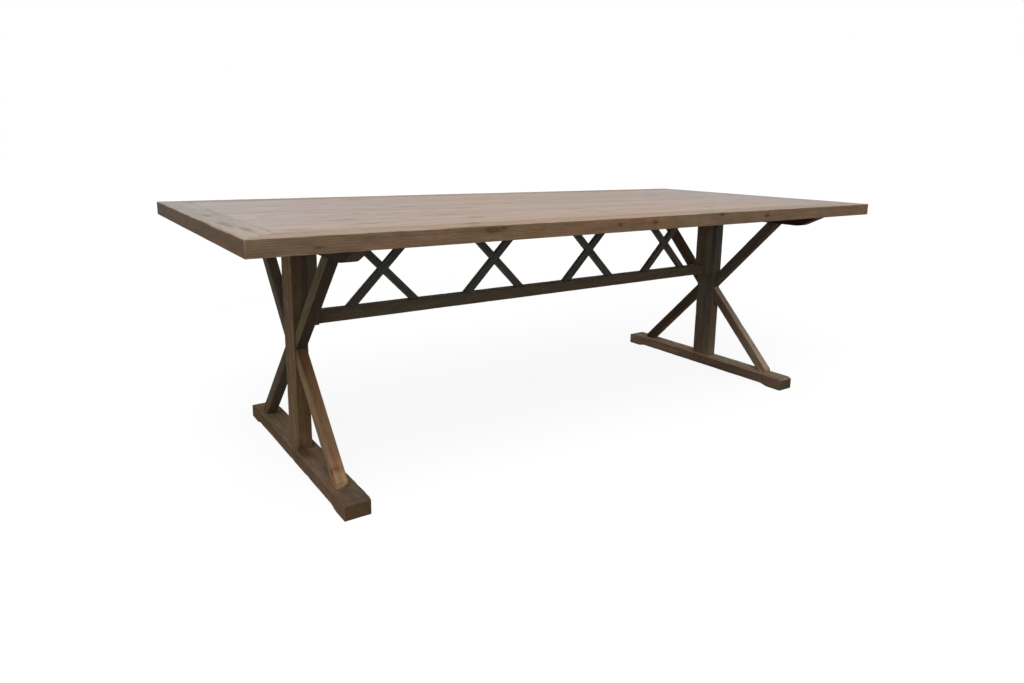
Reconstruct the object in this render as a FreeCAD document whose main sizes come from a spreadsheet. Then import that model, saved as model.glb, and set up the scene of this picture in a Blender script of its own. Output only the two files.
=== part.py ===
import FreeCAD, Part
import Sketcher

import os
import re

from FreeCAD import Placement, Rotation, Vector

# Sawbuck dining table. Millimetres, +Z up, +X along the table's length, +Y to its back.
# The origin is on the floor under the middle of the top.
#
# Every size is a cell of the spreadsheet, and every object reads its sizes from there.
SIZES = {
    # the top
    "top_length": 2400,
    "top_width": 1100,
    "top_thickness": 42,
    "table_height": 762,
    "border_width": 85,
    "plank_total": 7,
    "tongue_depth": 10,
    "tongue_thickness": 10,
    "spline_length": 70,
    "spline_width": 30,
    "spline_thickness": 6,
    "top_easing": 2,
    # trestles
    "trestle_offset": 932,
    "foot_length": 870,
    "foot_width": 75,
    "foot_height": 47,
    "foot_inset": 5,
    "foot_relief": 8,
    "foot_pad": 62,
    "relief_run": 36,
    "relief_rounding": 43,
    "post_width": 90,
    "post_thickness": 42,
    "tenon_width": 60,
    "tenon_thickness": 14,
    "tenon_length": 28,
    "bearer_height": 44,
    "bearer_width": 42,
    "bearer_length": 1040,
    "bearer_flat": 880,
    "bearer_lip": 4,
    "bearer_knee": 90,
    "brace_depth": 37,
    "brace_thickness": 33,
    "brace_meeting": 364,
    "brace_upper_reach": 341,
    "brace_lower_reach": 358,
    "upper_brace_toe": 5,
    "lower_brace_toe": 15,
    "easing": 2,
    "shortest_eased_edge": 180,
    # stretcher frame
    "beam_bottom": 425,
    "beam_height": 40,
    "beam_width": 36,
    "rail_height": 34,
    "upright_width": 62,
    "upright_thickness": 41,
    "stub_length": 15,
    "stub_width": 16,
    "stub_height": 20,
    "lattice_middle_1": -649,
    "lattice_middle_2": -227,
    "lattice_middle_3": 210,
    "lattice_middle_4": 627,
    "lattice_spread": 219,
    "lattice_depth": 24,
    "lattice_thickness": 20,
    # fasteners
    "clearance": 0.1,
    "bolt_diameter": 8,
    "bolt_length": 50,
    "bolt_head_across": 13,
    "bolt_head_height": 5.3,
    "bolt_lower": 494,
    "bolt_upper": 640,
    "washer_diameter": 20,
    "washer_thickness": 1.6,
    "insert_diameter": 12,
    "insert_length": 22,
    "insert_hole_depth": 24,
    "plug_diameter": 24,
    "plug_thickness": 5,
    "screw_diameter": 5,
    "screw_length": 50,
    "screw_head": 9.6,
    "screw_head_height": 2.8,
    "bearer_screw_sink": 14,
    "rail_screw_sink": 6,
    "rail_screw_spacing": 425,
    "foot_screw_sink": 9,
    "brace_screw_in": 33,
    "peg_diameter": 9,
    "peg_spread": 18,
    "foot_peg_height": 33,
    "bearer_peg_height": 16,
    "brace_dowel_diameter": 8,
    "brace_dowel_in": 14,
    "brace_dowel_offset": 25,
    "lattice_dowel_diameter": 6,
    "lattice_dowel_in": 9,
    "lattice_dowel_base": 14,
    "dowel_end_gap": 1,
}

# Heights and lengths that several pieces share, written in the spreadsheet's own names.
DERIVED = {
    "underside": "(table_height - top_thickness)",
    "bearer_bottom": "(table_height - top_thickness - bearer_height)",
    "beam_top": "(beam_bottom + beam_height)",
    "rail_bottom": "(table_height - top_thickness - rail_height)",
    "field_length": "(top_length - 2 * border_width)",
    "field_width": "(top_width - 2 * border_width)",
    "frame_half": "(trestle_offset - post_thickness / 2 - upright_thickness)",
    "upright_centre": "(trestle_offset - post_thickness / 2 - upright_thickness / 2)",
}

EVERY_SIDE = (("right", 1), ("left", -1))
LATTICE_PAIRS = (1, 2, 3, 4)
RAIL_SCREW_PLACES = (-2, -1, 0, 1, 2)
BOLT_HEIGHTS = ("bolt_lower", "bolt_upper")
HALF_TURN, QUARTER_TURN = 180, 90
TOLERANCE = 0.01
PARALLEL = 0.001
LEAST_CUT = 1

doc = FreeCAD.newDocument("sawbuck_table")
sheet = doc.addObject("Spreadsheet::Sheet", "Sizes")
for row, (alias, number) in enumerate(SIZES.items(), start=1):
    sheet.set(f"A{row}", alias)
    sheet.set(f"B{row}", str(number))
    sheet.setAlias(f"B{row}", alias)
doc.recompute()

subparts = []


# ---------------------------------------------------------------- helpers

def formula(text):
    """An expression in plain size names, as the document wants it."""
    for name, meaning in DERIVED.items():
        text = re.sub(rf"\b{name}\b", meaning, text)
    return re.sub(r"\b(" + "|".join(SIZES) + r")\b", r"Sizes.\1", text)


def value(text):
    """The number that an expression gives now."""
    return float(sheet.evalExpression(formula(text)))


def bind(obj, **formulas):
    """Tie properties of an object to the spreadsheet."""
    for name, text in formulas.items():
        obj.setExpression(name, formula(text))


def place(obj, x="0", y="0", z="0", axis=Vector(0, 0, 1), turn=0):
    """Put an object at a place worked out from the sizes, turned about an axis."""
    obj.Placement = Placement(Vector(0, 0, 0), Rotation(axis, turn))
    for coordinate, text in zip("xyz", (x, y, z)):
        obj.setExpression(f"Placement.Base.{coordinate}", formula(text))


def subpart(obj, label):
    """Mark an object as a piece of the table."""
    obj.Label = label
    subparts.append(obj)
    return obj


def new_body(name):
    return doc.addObject("PartDesign::Body", name)


def new_sketch(body, plane, offset="0"):
    """A sketch on one of the body's own origin planes, moved along that plane's normal."""
    sketch = body.newObject("Sketcher::SketchObject", body.Name + "_sketch")
    origin_plane = next(f for f in body.Origin.OriginFeatures if f.Role == plane)
    sketch.AttachmentSupport = (origin_plane, [""])
    sketch.MapMode = "FlatFace"
    sketch.setExpression("AttachmentOffset.Base.z", formula(offset))
    return sketch


def add_outline(sketch, corners):
    """A closed polygon whose corners are pairs of expressions from the sketch's origin."""
    first = sketch.GeometryCount
    count = len(corners)
    points = [Vector(value(u), value(v), 0) for u, v in corners]
    for i in range(count):
        sketch.addGeometry(Part.LineSegment(points[i], points[(i + 1) % count]))
    for i in range(count):
        end_to_start = (first + i, 2, first + (i + 1) % count, 1)
        sketch.addConstraint(Sketcher.Constraint("Coincident", *end_to_start))
    for i, (u, v) in enumerate(corners):
        for kind, text in (("DistanceX", u), ("DistanceY", v)):
            rule = Sketcher.Constraint(kind, -1, 1, first + i, 1, value(text))
            index = sketch.addConstraint(rule)
            sketch.setExpression(f"Constraints[{index}]", formula(text))


def add_circle(sketch, u, v, radius):
    """A circle whose centre and radius are expressions."""
    circle = Part.Circle(Vector(value(u), value(v), 0), Vector(0, 0, 1), value(radius))
    index = sketch.addGeometry(circle)
    for kind, text in (("DistanceX", u), ("DistanceY", v)):
        rule = sketch.addConstraint(Sketcher.Constraint(kind, -1, 1, index, 3, value(text)))
        sketch.setExpression(f"Constraints[{rule}]", formula(text))
    rule = sketch.addConstraint(Sketcher.Constraint("Radius", index, value(radius)))
    sketch.setExpression(f"Constraints[{rule}]", formula(radius))


def rectangle(u_low, u_high, v_low, v_high):
    return [(u_low, v_low), (u_high, v_low), (u_high, v_high), (u_low, v_high)]


def centred_rectangle(width, height):
    return rectangle(f"-{width} / 2", f"{width} / 2", f"-{height} / 2", f"{height} / 2")


def pad(body, plane, outlines, length, offset="0", both_ways=False):
    """Grow outlines along the plane's normal, or to both sides of the plane."""
    sketch = new_sketch(body, plane, offset)
    for outline in outlines:
        add_outline(sketch, outline)
    grown = body.newObject("PartDesign::Pad", body.Name + "_pad")
    grown.Profile = sketch
    grown.Midplane = both_ways
    bind(grown, Length=length)
    return grown


def cut(body, plane, length, outlines=(), circles=(), offset="0", both_ways=False, outwards=False):
    """Sink outlines and circles against the plane's normal; outwards sinks along it."""
    sketch = new_sketch(body, plane, offset)
    for outline in outlines:
        add_outline(sketch, outline)
    for circle in circles:
        add_circle(sketch, *circle)
    doc.recompute()
    before = body.Shape.Volume
    sunk = body.newObject("PartDesign::Pocket", body.Name + "_pocket")
    sunk.Profile = sketch
    sunk.Midplane = both_ways
    sunk.Reversed = outwards
    bind(sunk, Length=length)
    doc.recompute()
    if body.Shape.Volume > before - LEAST_CUT:
        raise RuntimeError(f"{sunk.Name} cuts nothing")
    return sunk


def ease(body, radius, chosen):
    """Round the edges that pass a test, given the edge and its middle."""
    doc.recompute()
    base = body.Tip
    wanted = []
    for number, edge in enumerate(base.Shape.Edges, start=1):
        if chosen(edge, edge.CenterOfMass):
            wanted.append(f"Edge{number}")
    rounded = body.newObject("PartDesign::Fillet", body.Name + "_easing")
    rounded.Base = (base, wanted)
    bind(rounded, Radius=radius)
    return rounded


def ease_along(body, direction):
    """Round the long straight edges that lie along a direction."""
    ease(body, "easing", lambda edge, middle:
         runs_along(edge, direction) and edge.Length > value("shortest_eased_edge"))


X_AXIS, Y_AXIS, Z_AXIS = Vector(1, 0, 0), Vector(0, 1, 0), Vector(0, 0, 1)


def runs_along(edge, direction):
    """Whether an edge is straight and lies along a direction."""
    if edge.Curve.TypeId != "Part::GeomLine":
        return False
    along = edge.Vertexes[-1].Point - edge.Vertexes[0].Point
    return along.cross(direction).Length < PARALLEL * edge.Length


# ---------------------------------------------------------------- the top

TONGUE = ("(top_thickness - tongue_thickness) / 2", "(top_thickness + tongue_thickness) / 2")


def plank_middle(number):
    """The distance of a plank's middle from the table's middle line; planks count from 1."""
    return f"(({number} - (plank_total + 1) / 2) * field_width / plank_total)"


def screw_clear():
    return "(screw_diameter / 2 + clearance)"


def spline_slot(x_sign, y_sign):
    """The outline of a loose spline across one mitre, seen from above."""
    middle_x = "(top_length / 2 - border_width / 2)"
    middle_y = "(top_width / 2 - border_width / 2)"
    root = "sqrt(2)"
    corners = []
    for along, across in ((-1, -1), (1, -1), (1, 1), (-1, 1)):
        out = f"({along} * spline_length / 2 / {root})"
        side = f"({across} * spline_width / 2 / {root})"
        corners.append((f"{x_sign} * ({middle_x} + {out} - {side})",
                        f"{y_sign} * ({middle_y} + {out} + {side})"))
    return corners


SPLINE_BASE = "(underside + (top_thickness - spline_thickness) / 2)"


def border_board(label, half_long, half_short, turn):
    """One of the four mitred boards, drawn at the back or right and turned into place.

    half_long is the half length of its outer edge, half_short the distance of that edge from
    the table's middle.
    """
    body = new_body(label)
    inner_long = f"({half_long} - border_width)"
    inner_short = f"({half_short} - border_width)"
    along_x = half_long == "top_length / 2"
    trapezium = [
        (f"-{inner_long}", inner_short),
        (inner_long, inner_short),
        (half_long, half_short),
        (f"-{half_long}", half_short),
    ]
    if not along_x:
        trapezium = [(v, u) for u, v in reversed(trapezium)]
    pad(body, "XY_Plane", [trapezium], "top_thickness", offset="underside")
    groove = rectangle(inner_short, f"{inner_short} + tongue_depth",
                       f"underside + {TONGUE[0]}", f"underside + {TONGUE[1]}")
    cut(body, "YZ_Plane" if along_x else "XZ_Plane", f"2 * {half_long}", [groove], both_ways=True)
    slots = [spline_slot(1, 1), spline_slot(-1, 1) if along_x else spline_slot(1, -1)]
    cut(body, "XY_Plane", "spline_thickness", slots, offset=SPLINE_BASE, outwards=True)
    outer = value(half_short)

    def on_outer_edge(edge, middle):
        distance = middle.y if along_x else middle.x
        level = runs_along(edge, X_AXIS) if along_x else runs_along(edge, Y_AXIS)
        return level and abs(distance - outer) < TOLERANCE

    ease(body, "top_easing", on_outer_edge)
    place(body, turn=turn)
    return subpart(body, label)


def plank(number):
    """A plank of the field: a tongue on its back edge, a groove on its front edge."""
    label = f"top_plank_{number}"
    body = new_body(label)
    half = "(field_width / plank_total / 2)"
    low, high = TONGUE
    front_steps = [(f"-{half}", low), (f"-{half} + tongue_depth", low),
                   (f"-{half} + tongue_depth", high), (f"-{half}", high)]
    if number == 1:
        front_steps = [(f"-{half}", low), (f"-{half} - tongue_depth", low),
                       (f"-{half} - tongue_depth", high), (f"-{half}", high)]
    section = [(f"-{half}", "0"), (half, "0"), (half, low), (f"{half} + tongue_depth", low),
               (f"{half} + tongue_depth", high), (half, high), (half, "top_thickness"),
               (f"-{half}", "top_thickness")] + front_steps[::-1]
    pad(body, "YZ_Plane", [section], "field_length + 2 * tongue_depth", both_ways=True)
    end, tip = "(field_length / 2)", "(field_length / 2 + tongue_depth)"
    shoulders = []
    for inner, outer in ((end, tip), (f"-{tip}", f"-{end}")):
        shoulders.append(rectangle(inner, outer, "0", low))
        shoulders.append(rectangle(inner, outer, high, "top_thickness"))
    cut(body, "XZ_Plane", "2 * field_width / plank_total", shoulders, both_ways=True)
    middle = (value("plank_total") + 1) / 2
    if number == middle:
        holes = [(f"{i} * rail_screw_spacing", "0", screw_clear()) for i in RAIL_SCREW_PLACES]
        depth = "screw_length - (rail_height - rail_screw_sink)"
    else:
        holes = [(f"{sign} * trestle_offset", "0", screw_clear()) for _, sign in EVERY_SIDE]
        depth = "screw_length - (bearer_height - bearer_screw_sink)"
    cut(body, "XY_Plane", depth, circles=holes, outwards=True)
    place(body, y=plank_middle(number), z="underside")
    return subpart(body, label)


def mitre_splines():
    """The loose splines across the four mitres."""
    splines = []
    for x_sign in (1, -1):
        for y_sign in (1, -1):
            body = new_body("mitre_spline")
            pad(body, "XY_Plane", [spline_slot(x_sign, y_sign)], "spline_thickness",
                offset=SPLINE_BASE)
            splines.append(body)
    return splines


# ---------------------------------------------------------------- trestles

def foot(side, sign):
    """A foot along the table's width that stands on a pad at each end."""
    label = f"{side}_foot"
    body = new_body(label)
    end = "foot_length / 2"
    pad_end, relief_end = f"({end} - foot_pad)", f"({end} - foot_pad - relief_run)"
    profile = [
        (f"-{end}", "0"), (f"-{pad_end}", "0"), (f"-{relief_end}", "foot_relief"),
        (relief_end, "foot_relief"), (pad_end, "0"), (end, "0"),
        (end, "foot_height"), (f"-{end}", "foot_height"),
    ]
    pad(body, "YZ_Plane", [profile], "foot_width", both_ways=True)
    bends = (value(pad_end), value(relief_end))

    def at_bend(edge, middle):
        if not runs_along(edge, X_AXIS):
            return False
        return any(abs(abs(middle.y) - bend) < TOLERANCE for bend in bends)

    ease(body, "relief_rounding", at_bend)
    mortise = post_tenon_outline("foot_inset")
    cut(body, "XY_Plane", "tenon_length", [mortise], offset="foot_height")
    peg = "peg_diameter / 2 + clearance"
    pegs = [(f"{i} * peg_spread", "foot_peg_height", peg) for i in (1, -1)]
    cut(body, "YZ_Plane", "foot_width", circles=pegs, both_ways=True)
    shanks = [("foot_inset", f"{i} * {brace_screw_lower()}", screw_clear()) for i in (1, -1)]
    cut(body, "XY_Plane", "foot_height", circles=shanks, offset="foot_height")
    sink = "screw_head / 2 + clearance"
    heads = [("foot_inset", f"{i} * {brace_screw_lower()}", sink) for i in (1, -1)]
    cut(body, "XY_Plane", "foot_relief + foot_screw_sink", circles=heads, outwards=True)
    ease(body, "easing", lambda edge, middle:
         runs_along(edge, Y_AXIS) and edge.Length > value(end)
         and middle.z > value("foot_height") - TOLERANCE)
    place(body, x=f"{sign} * (trestle_offset - foot_inset)", turn=0 if sign > 0 else HALF_TURN)
    return subpart(body, label)


def post_tenon_outline(x_middle="0"):
    """The tenon's section, seen from above."""
    return rectangle(f"{x_middle} - tenon_thickness / 2", f"{x_middle} + tenon_thickness / 2",
                     "-tenon_width / 2", "tenon_width / 2")


def post(side, sign):
    """The flat post: tenoned into the foot and the bearer, drilled for bolts, pegs and dowels."""
    label = f"{side}_post"
    body = new_body(label)
    section = centred_rectangle("post_thickness", "post_width")
    pad(body, "XY_Plane", [section], "bearer_bottom - foot_height", offset="foot_height")
    ease_along(body, Z_AXIS)
    pad(body, "XY_Plane", [post_tenon_outline()],
        "bearer_bottom - foot_height + 2 * tenon_length", offset="foot_height - tenon_length")
    bolts = [("0", height, "bolt_diameter / 2 + clearance") for height in BOLT_HEIGHTS]
    cut(body, "YZ_Plane", "post_thickness", circles=bolts, both_ways=True)
    heads = [("0", height, "plug_diameter / 2 + clearance") for height in BOLT_HEIGHTS]
    cut(body, "YZ_Plane", plug_hole_depth(), circles=heads, offset="post_thickness / 2")
    peg = "peg_diameter / 2 + clearance"
    pegs = [(f"{i} * peg_spread", height, peg)
            for i in (1, -1) for height in ("foot_peg_height", "bearer_bottom + bearer_peg_height")]
    cut(body, "YZ_Plane", "post_thickness", circles=pegs, both_ways=True)
    dowel = "brace_dowel_diameter / 2 + clearance"
    dowels = [("0", height, dowel) for height in brace_dowel_heights()]
    cut(body, "XZ_Plane", "post_width", circles=dowels, both_ways=True)
    place(body, x=f"{sign} * trestle_offset", turn=0 if sign > 0 else HALF_TURN)
    return subpart(body, label)


def plug_hole_depth():
    return "(washer_thickness + bolt_head_height + plug_thickness)"


def bearer(side, sign):
    """The bearer under the top, flat in the middle and tapered at both ends."""
    label = f"{side}_bearer"
    body = new_body(label)
    end, flat = "bearer_length / 2", "bearer_flat / 2"
    lip = "underside - bearer_lip"
    profile = [(f"-{end}", lip), (f"-{flat}", "bearer_bottom"), (flat, "bearer_bottom"),
               (end, lip), (end, "underside"), (f"-{end}", "underside")]
    pad(body, "YZ_Plane", [profile], "bearer_width", both_ways=True)
    knee = value(flat)
    ease(body, "bearer_knee", lambda edge, middle:
         runs_along(edge, X_AXIS) and abs(abs(middle.y) - knee) < TOLERANCE)
    ease(body, "easing", lambda edge, middle:
         runs_along(edge, Y_AXIS) and middle.z < value("bearer_bottom") + TOLERANCE)
    cut(body, "XY_Plane", "tenon_length", [post_tenon_outline()],
        offset="bearer_bottom", outwards=True)
    peg = "peg_diameter / 2 + clearance"
    pegs = [(f"{i} * peg_spread", "bearer_bottom + bearer_peg_height", peg) for i in (1, -1)]
    cut(body, "YZ_Plane", "bearer_width", circles=pegs, both_ways=True)
    middle = (SIZES["plank_total"] + 1) // 2
    places = [plank_middle(i) for i in range(1, SIZES["plank_total"] + 1) if i != middle]
    shanks = [("0", y, screw_clear()) for y in places]
    shanks += [("0", f"{i} * {brace_screw_upper()}", screw_clear()) for i in (1, -1)]
    cut(body, "XY_Plane", "bearer_height", circles=shanks, offset="underside")
    sink_radius = "screw_head / 2 + clearance"
    sinks = [("0", y, sink_radius) for y in places]
    cut(body, "XY_Plane", "bearer_screw_sink", circles=sinks, offset="bearer_bottom", outwards=True)
    flush = [("0", f"{i} * {brace_screw_upper()}", sink_radius) for i in (1, -1)]
    cut(body, "XY_Plane", "screw_head_height", circles=flush, offset="underside")
    place(body, x=f"{sign} * trestle_offset", turn=0 if sign > 0 else HALF_TURN)
    return subpart(body, label)


def brace_screw_lower():
    """How far from the trestle's middle the screw into a lower brace stands."""
    return "(brace_lower_reach - brace_screw_in)"


def brace_screw_upper():
    """How far from the trestle's middle the screw into an upper brace stands."""
    return "(brace_upper_reach - brace_screw_in)"


def brace_dowel_heights():
    """The dowels stand above and below the height where the braces meet."""
    return "(brace_meeting + brace_dowel_offset)", "(brace_meeting - brace_dowel_offset)"


def brace(side, level, place_name, sign):
    """A diagonal brace, drawn behind the post and turned for the front one.

    One end is cut upright against the post and the other level against the foot or bearer. The
    acute tip at that end is cut blunt.
    """
    label = f"{side}_{level}_{place_name}_brace"
    body = new_body(label)
    face = "(post_width / 2)"
    if level == "upper":
        reach, far, way = "brace_upper_reach", "bearer_bottom", "1"
        dowel, screw = brace_dowel_heights()[0], brace_screw_upper()
    else:
        reach, far, way = "brace_lower_reach", "foot_height", "-1"
        dowel, screw = brace_dowel_heights()[1], brace_screw_lower()
    rise = f"(abs({far} - brace_meeting))"
    run = f"({reach} - {face})"
    slant = f"sqrt({rise} * {rise} + {run} * {run})"
    level_cut = f"(brace_depth * {slant} / {rise})"
    upright_cut = f"(brace_depth * {slant} / {run})"
    toe = f"{level}_brace_toe"
    blunt = f"({toe} * {run} / {rise})"
    profile = [
        (face, "brace_meeting"),
        (f"{reach} - {blunt}", f"{far} - {way} * {toe}"),
        (f"{reach} - {blunt}", far),
        (f"{reach} - {level_cut}", far),
        (face, f"brace_meeting + {way} * {upright_cut}"),
    ]
    pad(body, "YZ_Plane", [profile], "brace_thickness", both_ways=True)
    ease_along(body, Vector(0, value(run), value(f"{way} * {rise}")))
    hole = ("0", dowel, "brace_dowel_diameter / 2 + clearance")
    cut(body, "XZ_Plane", "brace_dowel_in", circles=[hole], offset=f"-({face})")
    pilot = ("0", screw, screw_clear())
    cut(body, "XY_Plane", brace_screw_bite(level), circles=[pilot],
        offset=far, outwards=level == "lower")
    place(body, x=f"{sign} * trestle_offset", turn=0 if place_name == "back" else HALF_TURN)
    return subpart(body, label)


def brace_screw_bite(level):
    """How deep a screw goes into a brace, past the foot or bearer."""
    if level == "upper":
        return "(screw_length - (bearer_height - screw_head_height))"
    return "(screw_length - (foot_height - foot_relief - foot_screw_sink))"


# ---------------------------------------------------------------- stretcher frame

def upright(side, sign):
    """The end of the stretcher frame, bolted against the inner face of a post."""
    label = f"{side}_frame_upright"
    body = new_body(label)
    section = centred_rectangle("upright_thickness", "upright_width")
    pad(body, "XY_Plane", [section], "underside - beam_bottom", offset="beam_bottom")
    ease_along(body, Z_AXIS)
    inner = "-upright_thickness / 2"
    stub = ("-stub_width / 2", "stub_width / 2")
    mortises = [rectangle(*stub, f"{middle} - stub_height / 2", f"{middle} + stub_height / 2")
                for middle in ("(beam_bottom + beam_height / 2)", "(underside - rail_height / 2)")]
    cut(body, "YZ_Plane", "stub_length", mortises, offset=inner, outwards=True)
    inserts = [("0", height, "insert_diameter / 2 + clearance") for height in BOLT_HEIGHTS]
    cut(body, "YZ_Plane", "insert_hole_depth", circles=inserts, offset="upright_thickness / 2")
    place(body, x=f"{sign} * upright_centre", turn=0 if sign > 0 else HALF_TURN)
    return subpart(body, label)


def frame_member(label, width, height, bottom, dowel_plane, dowel_down):
    """A long member of the stretcher frame, with a stub tenon at each end."""
    body = new_body(label)
    section = rectangle(f"-{width} / 2", f"{width} / 2", bottom, f"{bottom} + {height}")
    pad(body, "YZ_Plane", [section], "2 * frame_half", both_ways=True)
    ease_along(body, X_AXIS)
    middle = f"({bottom} + {height} / 2)"
    stub = rectangle("-stub_width / 2", "stub_width / 2",
                     f"{middle} - stub_height / 2", f"{middle} + stub_height / 2")
    pad(body, "YZ_Plane", [stub], "2 * (frame_half + stub_length)", both_ways=True)
    feet = [(x, "0", lattice_dowel_clear()) for x in lattice_feet()]
    cut(body, "XY_Plane", "lattice_dowel_base", circles=feet,
        offset=dowel_plane, outwards=not dowel_down)
    return subpart(body, label)


def lattice_feet():
    """How far along the table the ends of the lattice bars stand."""
    return [f"(lattice_middle_{number} + {side} * lattice_spread / 2)"
            for number in LATTICE_PAIRS for side in (1, -1)]


def lattice_dowel_clear():
    return "(lattice_dowel_diameter / 2 + clearance)"


def stretcher_rail():
    """The rail under the top, screwed to the middle plank."""
    body = frame_member("stretcher_rail", "beam_width", "rail_height", "rail_bottom",
                        "rail_bottom", False)
    shanks = [(f"{i} * rail_screw_spacing", "0", screw_clear()) for i in RAIL_SCREW_PLACES]
    cut(body, "XY_Plane", "rail_height", circles=shanks, offset="underside")
    sink_radius = "screw_head / 2 + clearance"
    sinks = [(f"{i} * rail_screw_spacing", "0", sink_radius) for i in RAIL_SCREW_PLACES]
    cut(body, "XY_Plane", "rail_screw_sink", circles=sinks, offset="rail_bottom", outwards=True)
    return body


def lattice_outline(way):
    """A lattice bar between beam and rail, seen from the front; way 1 rises to the right."""
    rise = "(rail_bottom - beam_top)"
    slant = f"sqrt({rise} * {rise} + lattice_spread * lattice_spread)"
    half = f"(lattice_depth / 2 * {slant} / {rise})"
    corners = [
        (f"-lattice_spread / 2 - {half}", "beam_top"),
        (f"-lattice_spread / 2 + {half}", "beam_top"),
        (f"lattice_spread / 2 + {half}", "rail_bottom"),
        (f"lattice_spread / 2 - {half}", "rail_bottom"),
    ]
    if way > 0:
        return corners
    return [(f"-({u})", v) for u, v in reversed(corners)]


def lattice_bar(number, rising):
    """A bar of a crossed pair, halved over its partner, which is the same bar turned."""
    label = f"lattice_{number}_{'rising' if rising else 'falling'}_bar"
    body = new_body(label)
    pad(body, "XZ_Plane", [lattice_outline(1)], "lattice_thickness", both_ways=True)
    cut(body, "XZ_Plane", "lattice_thickness / 2", [lattice_outline(-1)])
    for way, plane, outwards in ((-1, "beam_top", True), (1, "rail_bottom", False)):
        hole = (f"{way} * lattice_spread / 2", "0", lattice_dowel_clear())
        cut(body, "XY_Plane", "lattice_dowel_in", circles=[hole], offset=plane, outwards=outwards)
    place(body, x=f"lattice_middle_{number}", turn=0 if rising else HALF_TURN)
    return subpart(body, label)


# ---------------------------------------------------------------- fasteners

def round_bar(name, radius, length):
    """A plain round bar that stands on the origin."""
    bar = doc.addObject("Part::Cylinder", name)
    bind(bar, Radius=radius, Height=length)
    return bar


def copies(label, templates, places):
    """One node of separate solids: the templates, joined, at each place.

    A place is (x, y, z, axis, turn), with x, y and z as expressions.
    """
    members = []
    for x, y, z, axis, turn in places:
        member = doc.addObject("Part::MultiFuse", label + "_member")
        member.Shapes = templates
        place(member, x, y, z, axis, turn)
        members.append(member)
    group = doc.addObject("Part::Compound", label)
    group.Links = members
    return subpart(group, label)


def bars(label, radius, length, places):
    """One node of separate round bars of one size."""
    members = []
    for x, y, z, axis, turn in places:
        bar = round_bar(label + "_member", radius, length)
        place(bar, x, y, z, axis, turn)
        members.append(bar)
    group = doc.addObject("Part::Compound", label)
    group.Links = members
    return subpart(group, label)


def rings(label, outer_radius, inner_radius, length, places):
    """One node of separate rings of one size."""
    outer = round_bar(label + "_outer", outer_radius, length)
    inner = round_bar(label + "_inner", inner_radius, length)
    members = []
    for x, y, z, axis, turn in places:
        ring = doc.addObject("Part::Cut", label + "_member")
        ring.Base, ring.Tool = outer, inner
        place(ring, x, y, z, axis, turn)
        members.append(ring)
    group = doc.addObject("Part::Compound", label)
    group.Links = members
    return subpart(group, label)


def facing_in(depth):
    """Places on the bolt axes, this far in from the outer faces of the posts, pointing inwards."""
    outer_face = "(trestle_offset + post_thickness / 2)"
    return [(f"{sign} * ({outer_face} - {depth})", "0", height, Y_AXIS, -QUARTER_TURN * sign)
            for _, sign in EVERY_SIDE for height in BOLT_HEIGHTS]


def frame_bolts():
    """Hexagon bolts from the posts into the uprights."""
    head = doc.addObject("Part::Prism", "bolt_head")
    head.Polygon = 6
    bind(head, Circumradius="bolt_head_across / sqrt(3)", Height="bolt_head_height")
    shank = round_bar("bolt_shank", "bolt_diameter / 2", "bolt_head_height + bolt_length")
    return copies("frame_bolts", [head, shank], facing_in("plug_thickness"))


def wood_screw():
    """A flat-headed screw that stands on its head at the origin."""
    head = round_bar("screw_head", "screw_head / 2", "screw_head_height")
    shank = round_bar("screw_shank", "screw_diameter / 2", "screw_head_height + screw_length")
    return [head, shank]


def screws(label, places):
    return copies(label, wood_screw(), places)


# ---------------------------------------------------------------- the table

border_board("top_border_back", "top_length / 2", "top_width / 2", 0)
border_board("top_border_front", "top_length / 2", "top_width / 2", HALF_TURN)
border_board("top_border_right", "top_width / 2", "top_length / 2", 0)
border_board("top_border_left", "top_width / 2", "top_length / 2", HALF_TURN)
for plank_number in range(1, SIZES["plank_total"] + 1):
    plank(plank_number)
spline_group = doc.addObject("Part::Compound", "mitre_splines")
spline_group.Links = mitre_splines()
subpart(spline_group, "mitre_splines")

for side_name, side_sign in EVERY_SIDE:
    foot(side_name, side_sign)
    post(side_name, side_sign)
    bearer(side_name, side_sign)
    for brace_level in ("upper", "lower"):
        for brace_place in ("front", "back"):
            brace(side_name, brace_level, brace_place, side_sign)
    upright(side_name, side_sign)

frame_member("stretcher_beam", "beam_width", "beam_height", "beam_bottom", "beam_top", True)
stretcher_rail()
for lattice_number in LATTICE_PAIRS:
    lattice_bar(lattice_number, True)
    lattice_bar(lattice_number, False)

frame_bolts()
rings("frame_washers", "washer_diameter / 2", "bolt_diameter / 2 + clearance", "washer_thickness",
      facing_in("plug_thickness - bolt_head_height"))
rings("frame_inserts", "insert_diameter / 2", "bolt_diameter / 2 + clearance", "insert_length",
      facing_in("post_thickness"))
bars("bolt_plugs", "plug_diameter / 2", "plug_thickness", facing_in("0"))

middle_plank = (SIZES["plank_total"] + 1) // 2
bearer_screw_rows = [i for i in range(1, SIZES["plank_total"] + 1) if i != middle_plank]
screws("bearer_screws", [
    (f"{sign} * trestle_offset", plank_middle(i),
     "bearer_bottom + bearer_screw_sink - screw_head_height", Z_AXIS, 0)
    for _, sign in EVERY_SIDE for i in bearer_screw_rows])
screws("rail_screws", [
    (f"{i} * rail_screw_spacing", "0",
     "rail_bottom + rail_screw_sink - screw_head_height", Z_AXIS, 0)
    for i in RAIL_SCREW_PLACES])
screws("lower_brace_screws", [
    (f"{sign} * trestle_offset", f"{i} * {brace_screw_lower()}",
     "foot_relief + foot_screw_sink - screw_head_height", Z_AXIS, 0)
    for _, sign in EVERY_SIDE for i in (1, -1)])
screws("upper_brace_screws", [
    (f"{sign} * trestle_offset", f"{i} * {brace_screw_upper()}", "underside", X_AXIS, HALF_TURN)
    for _, sign in EVERY_SIDE for i in (1, -1)])
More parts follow.
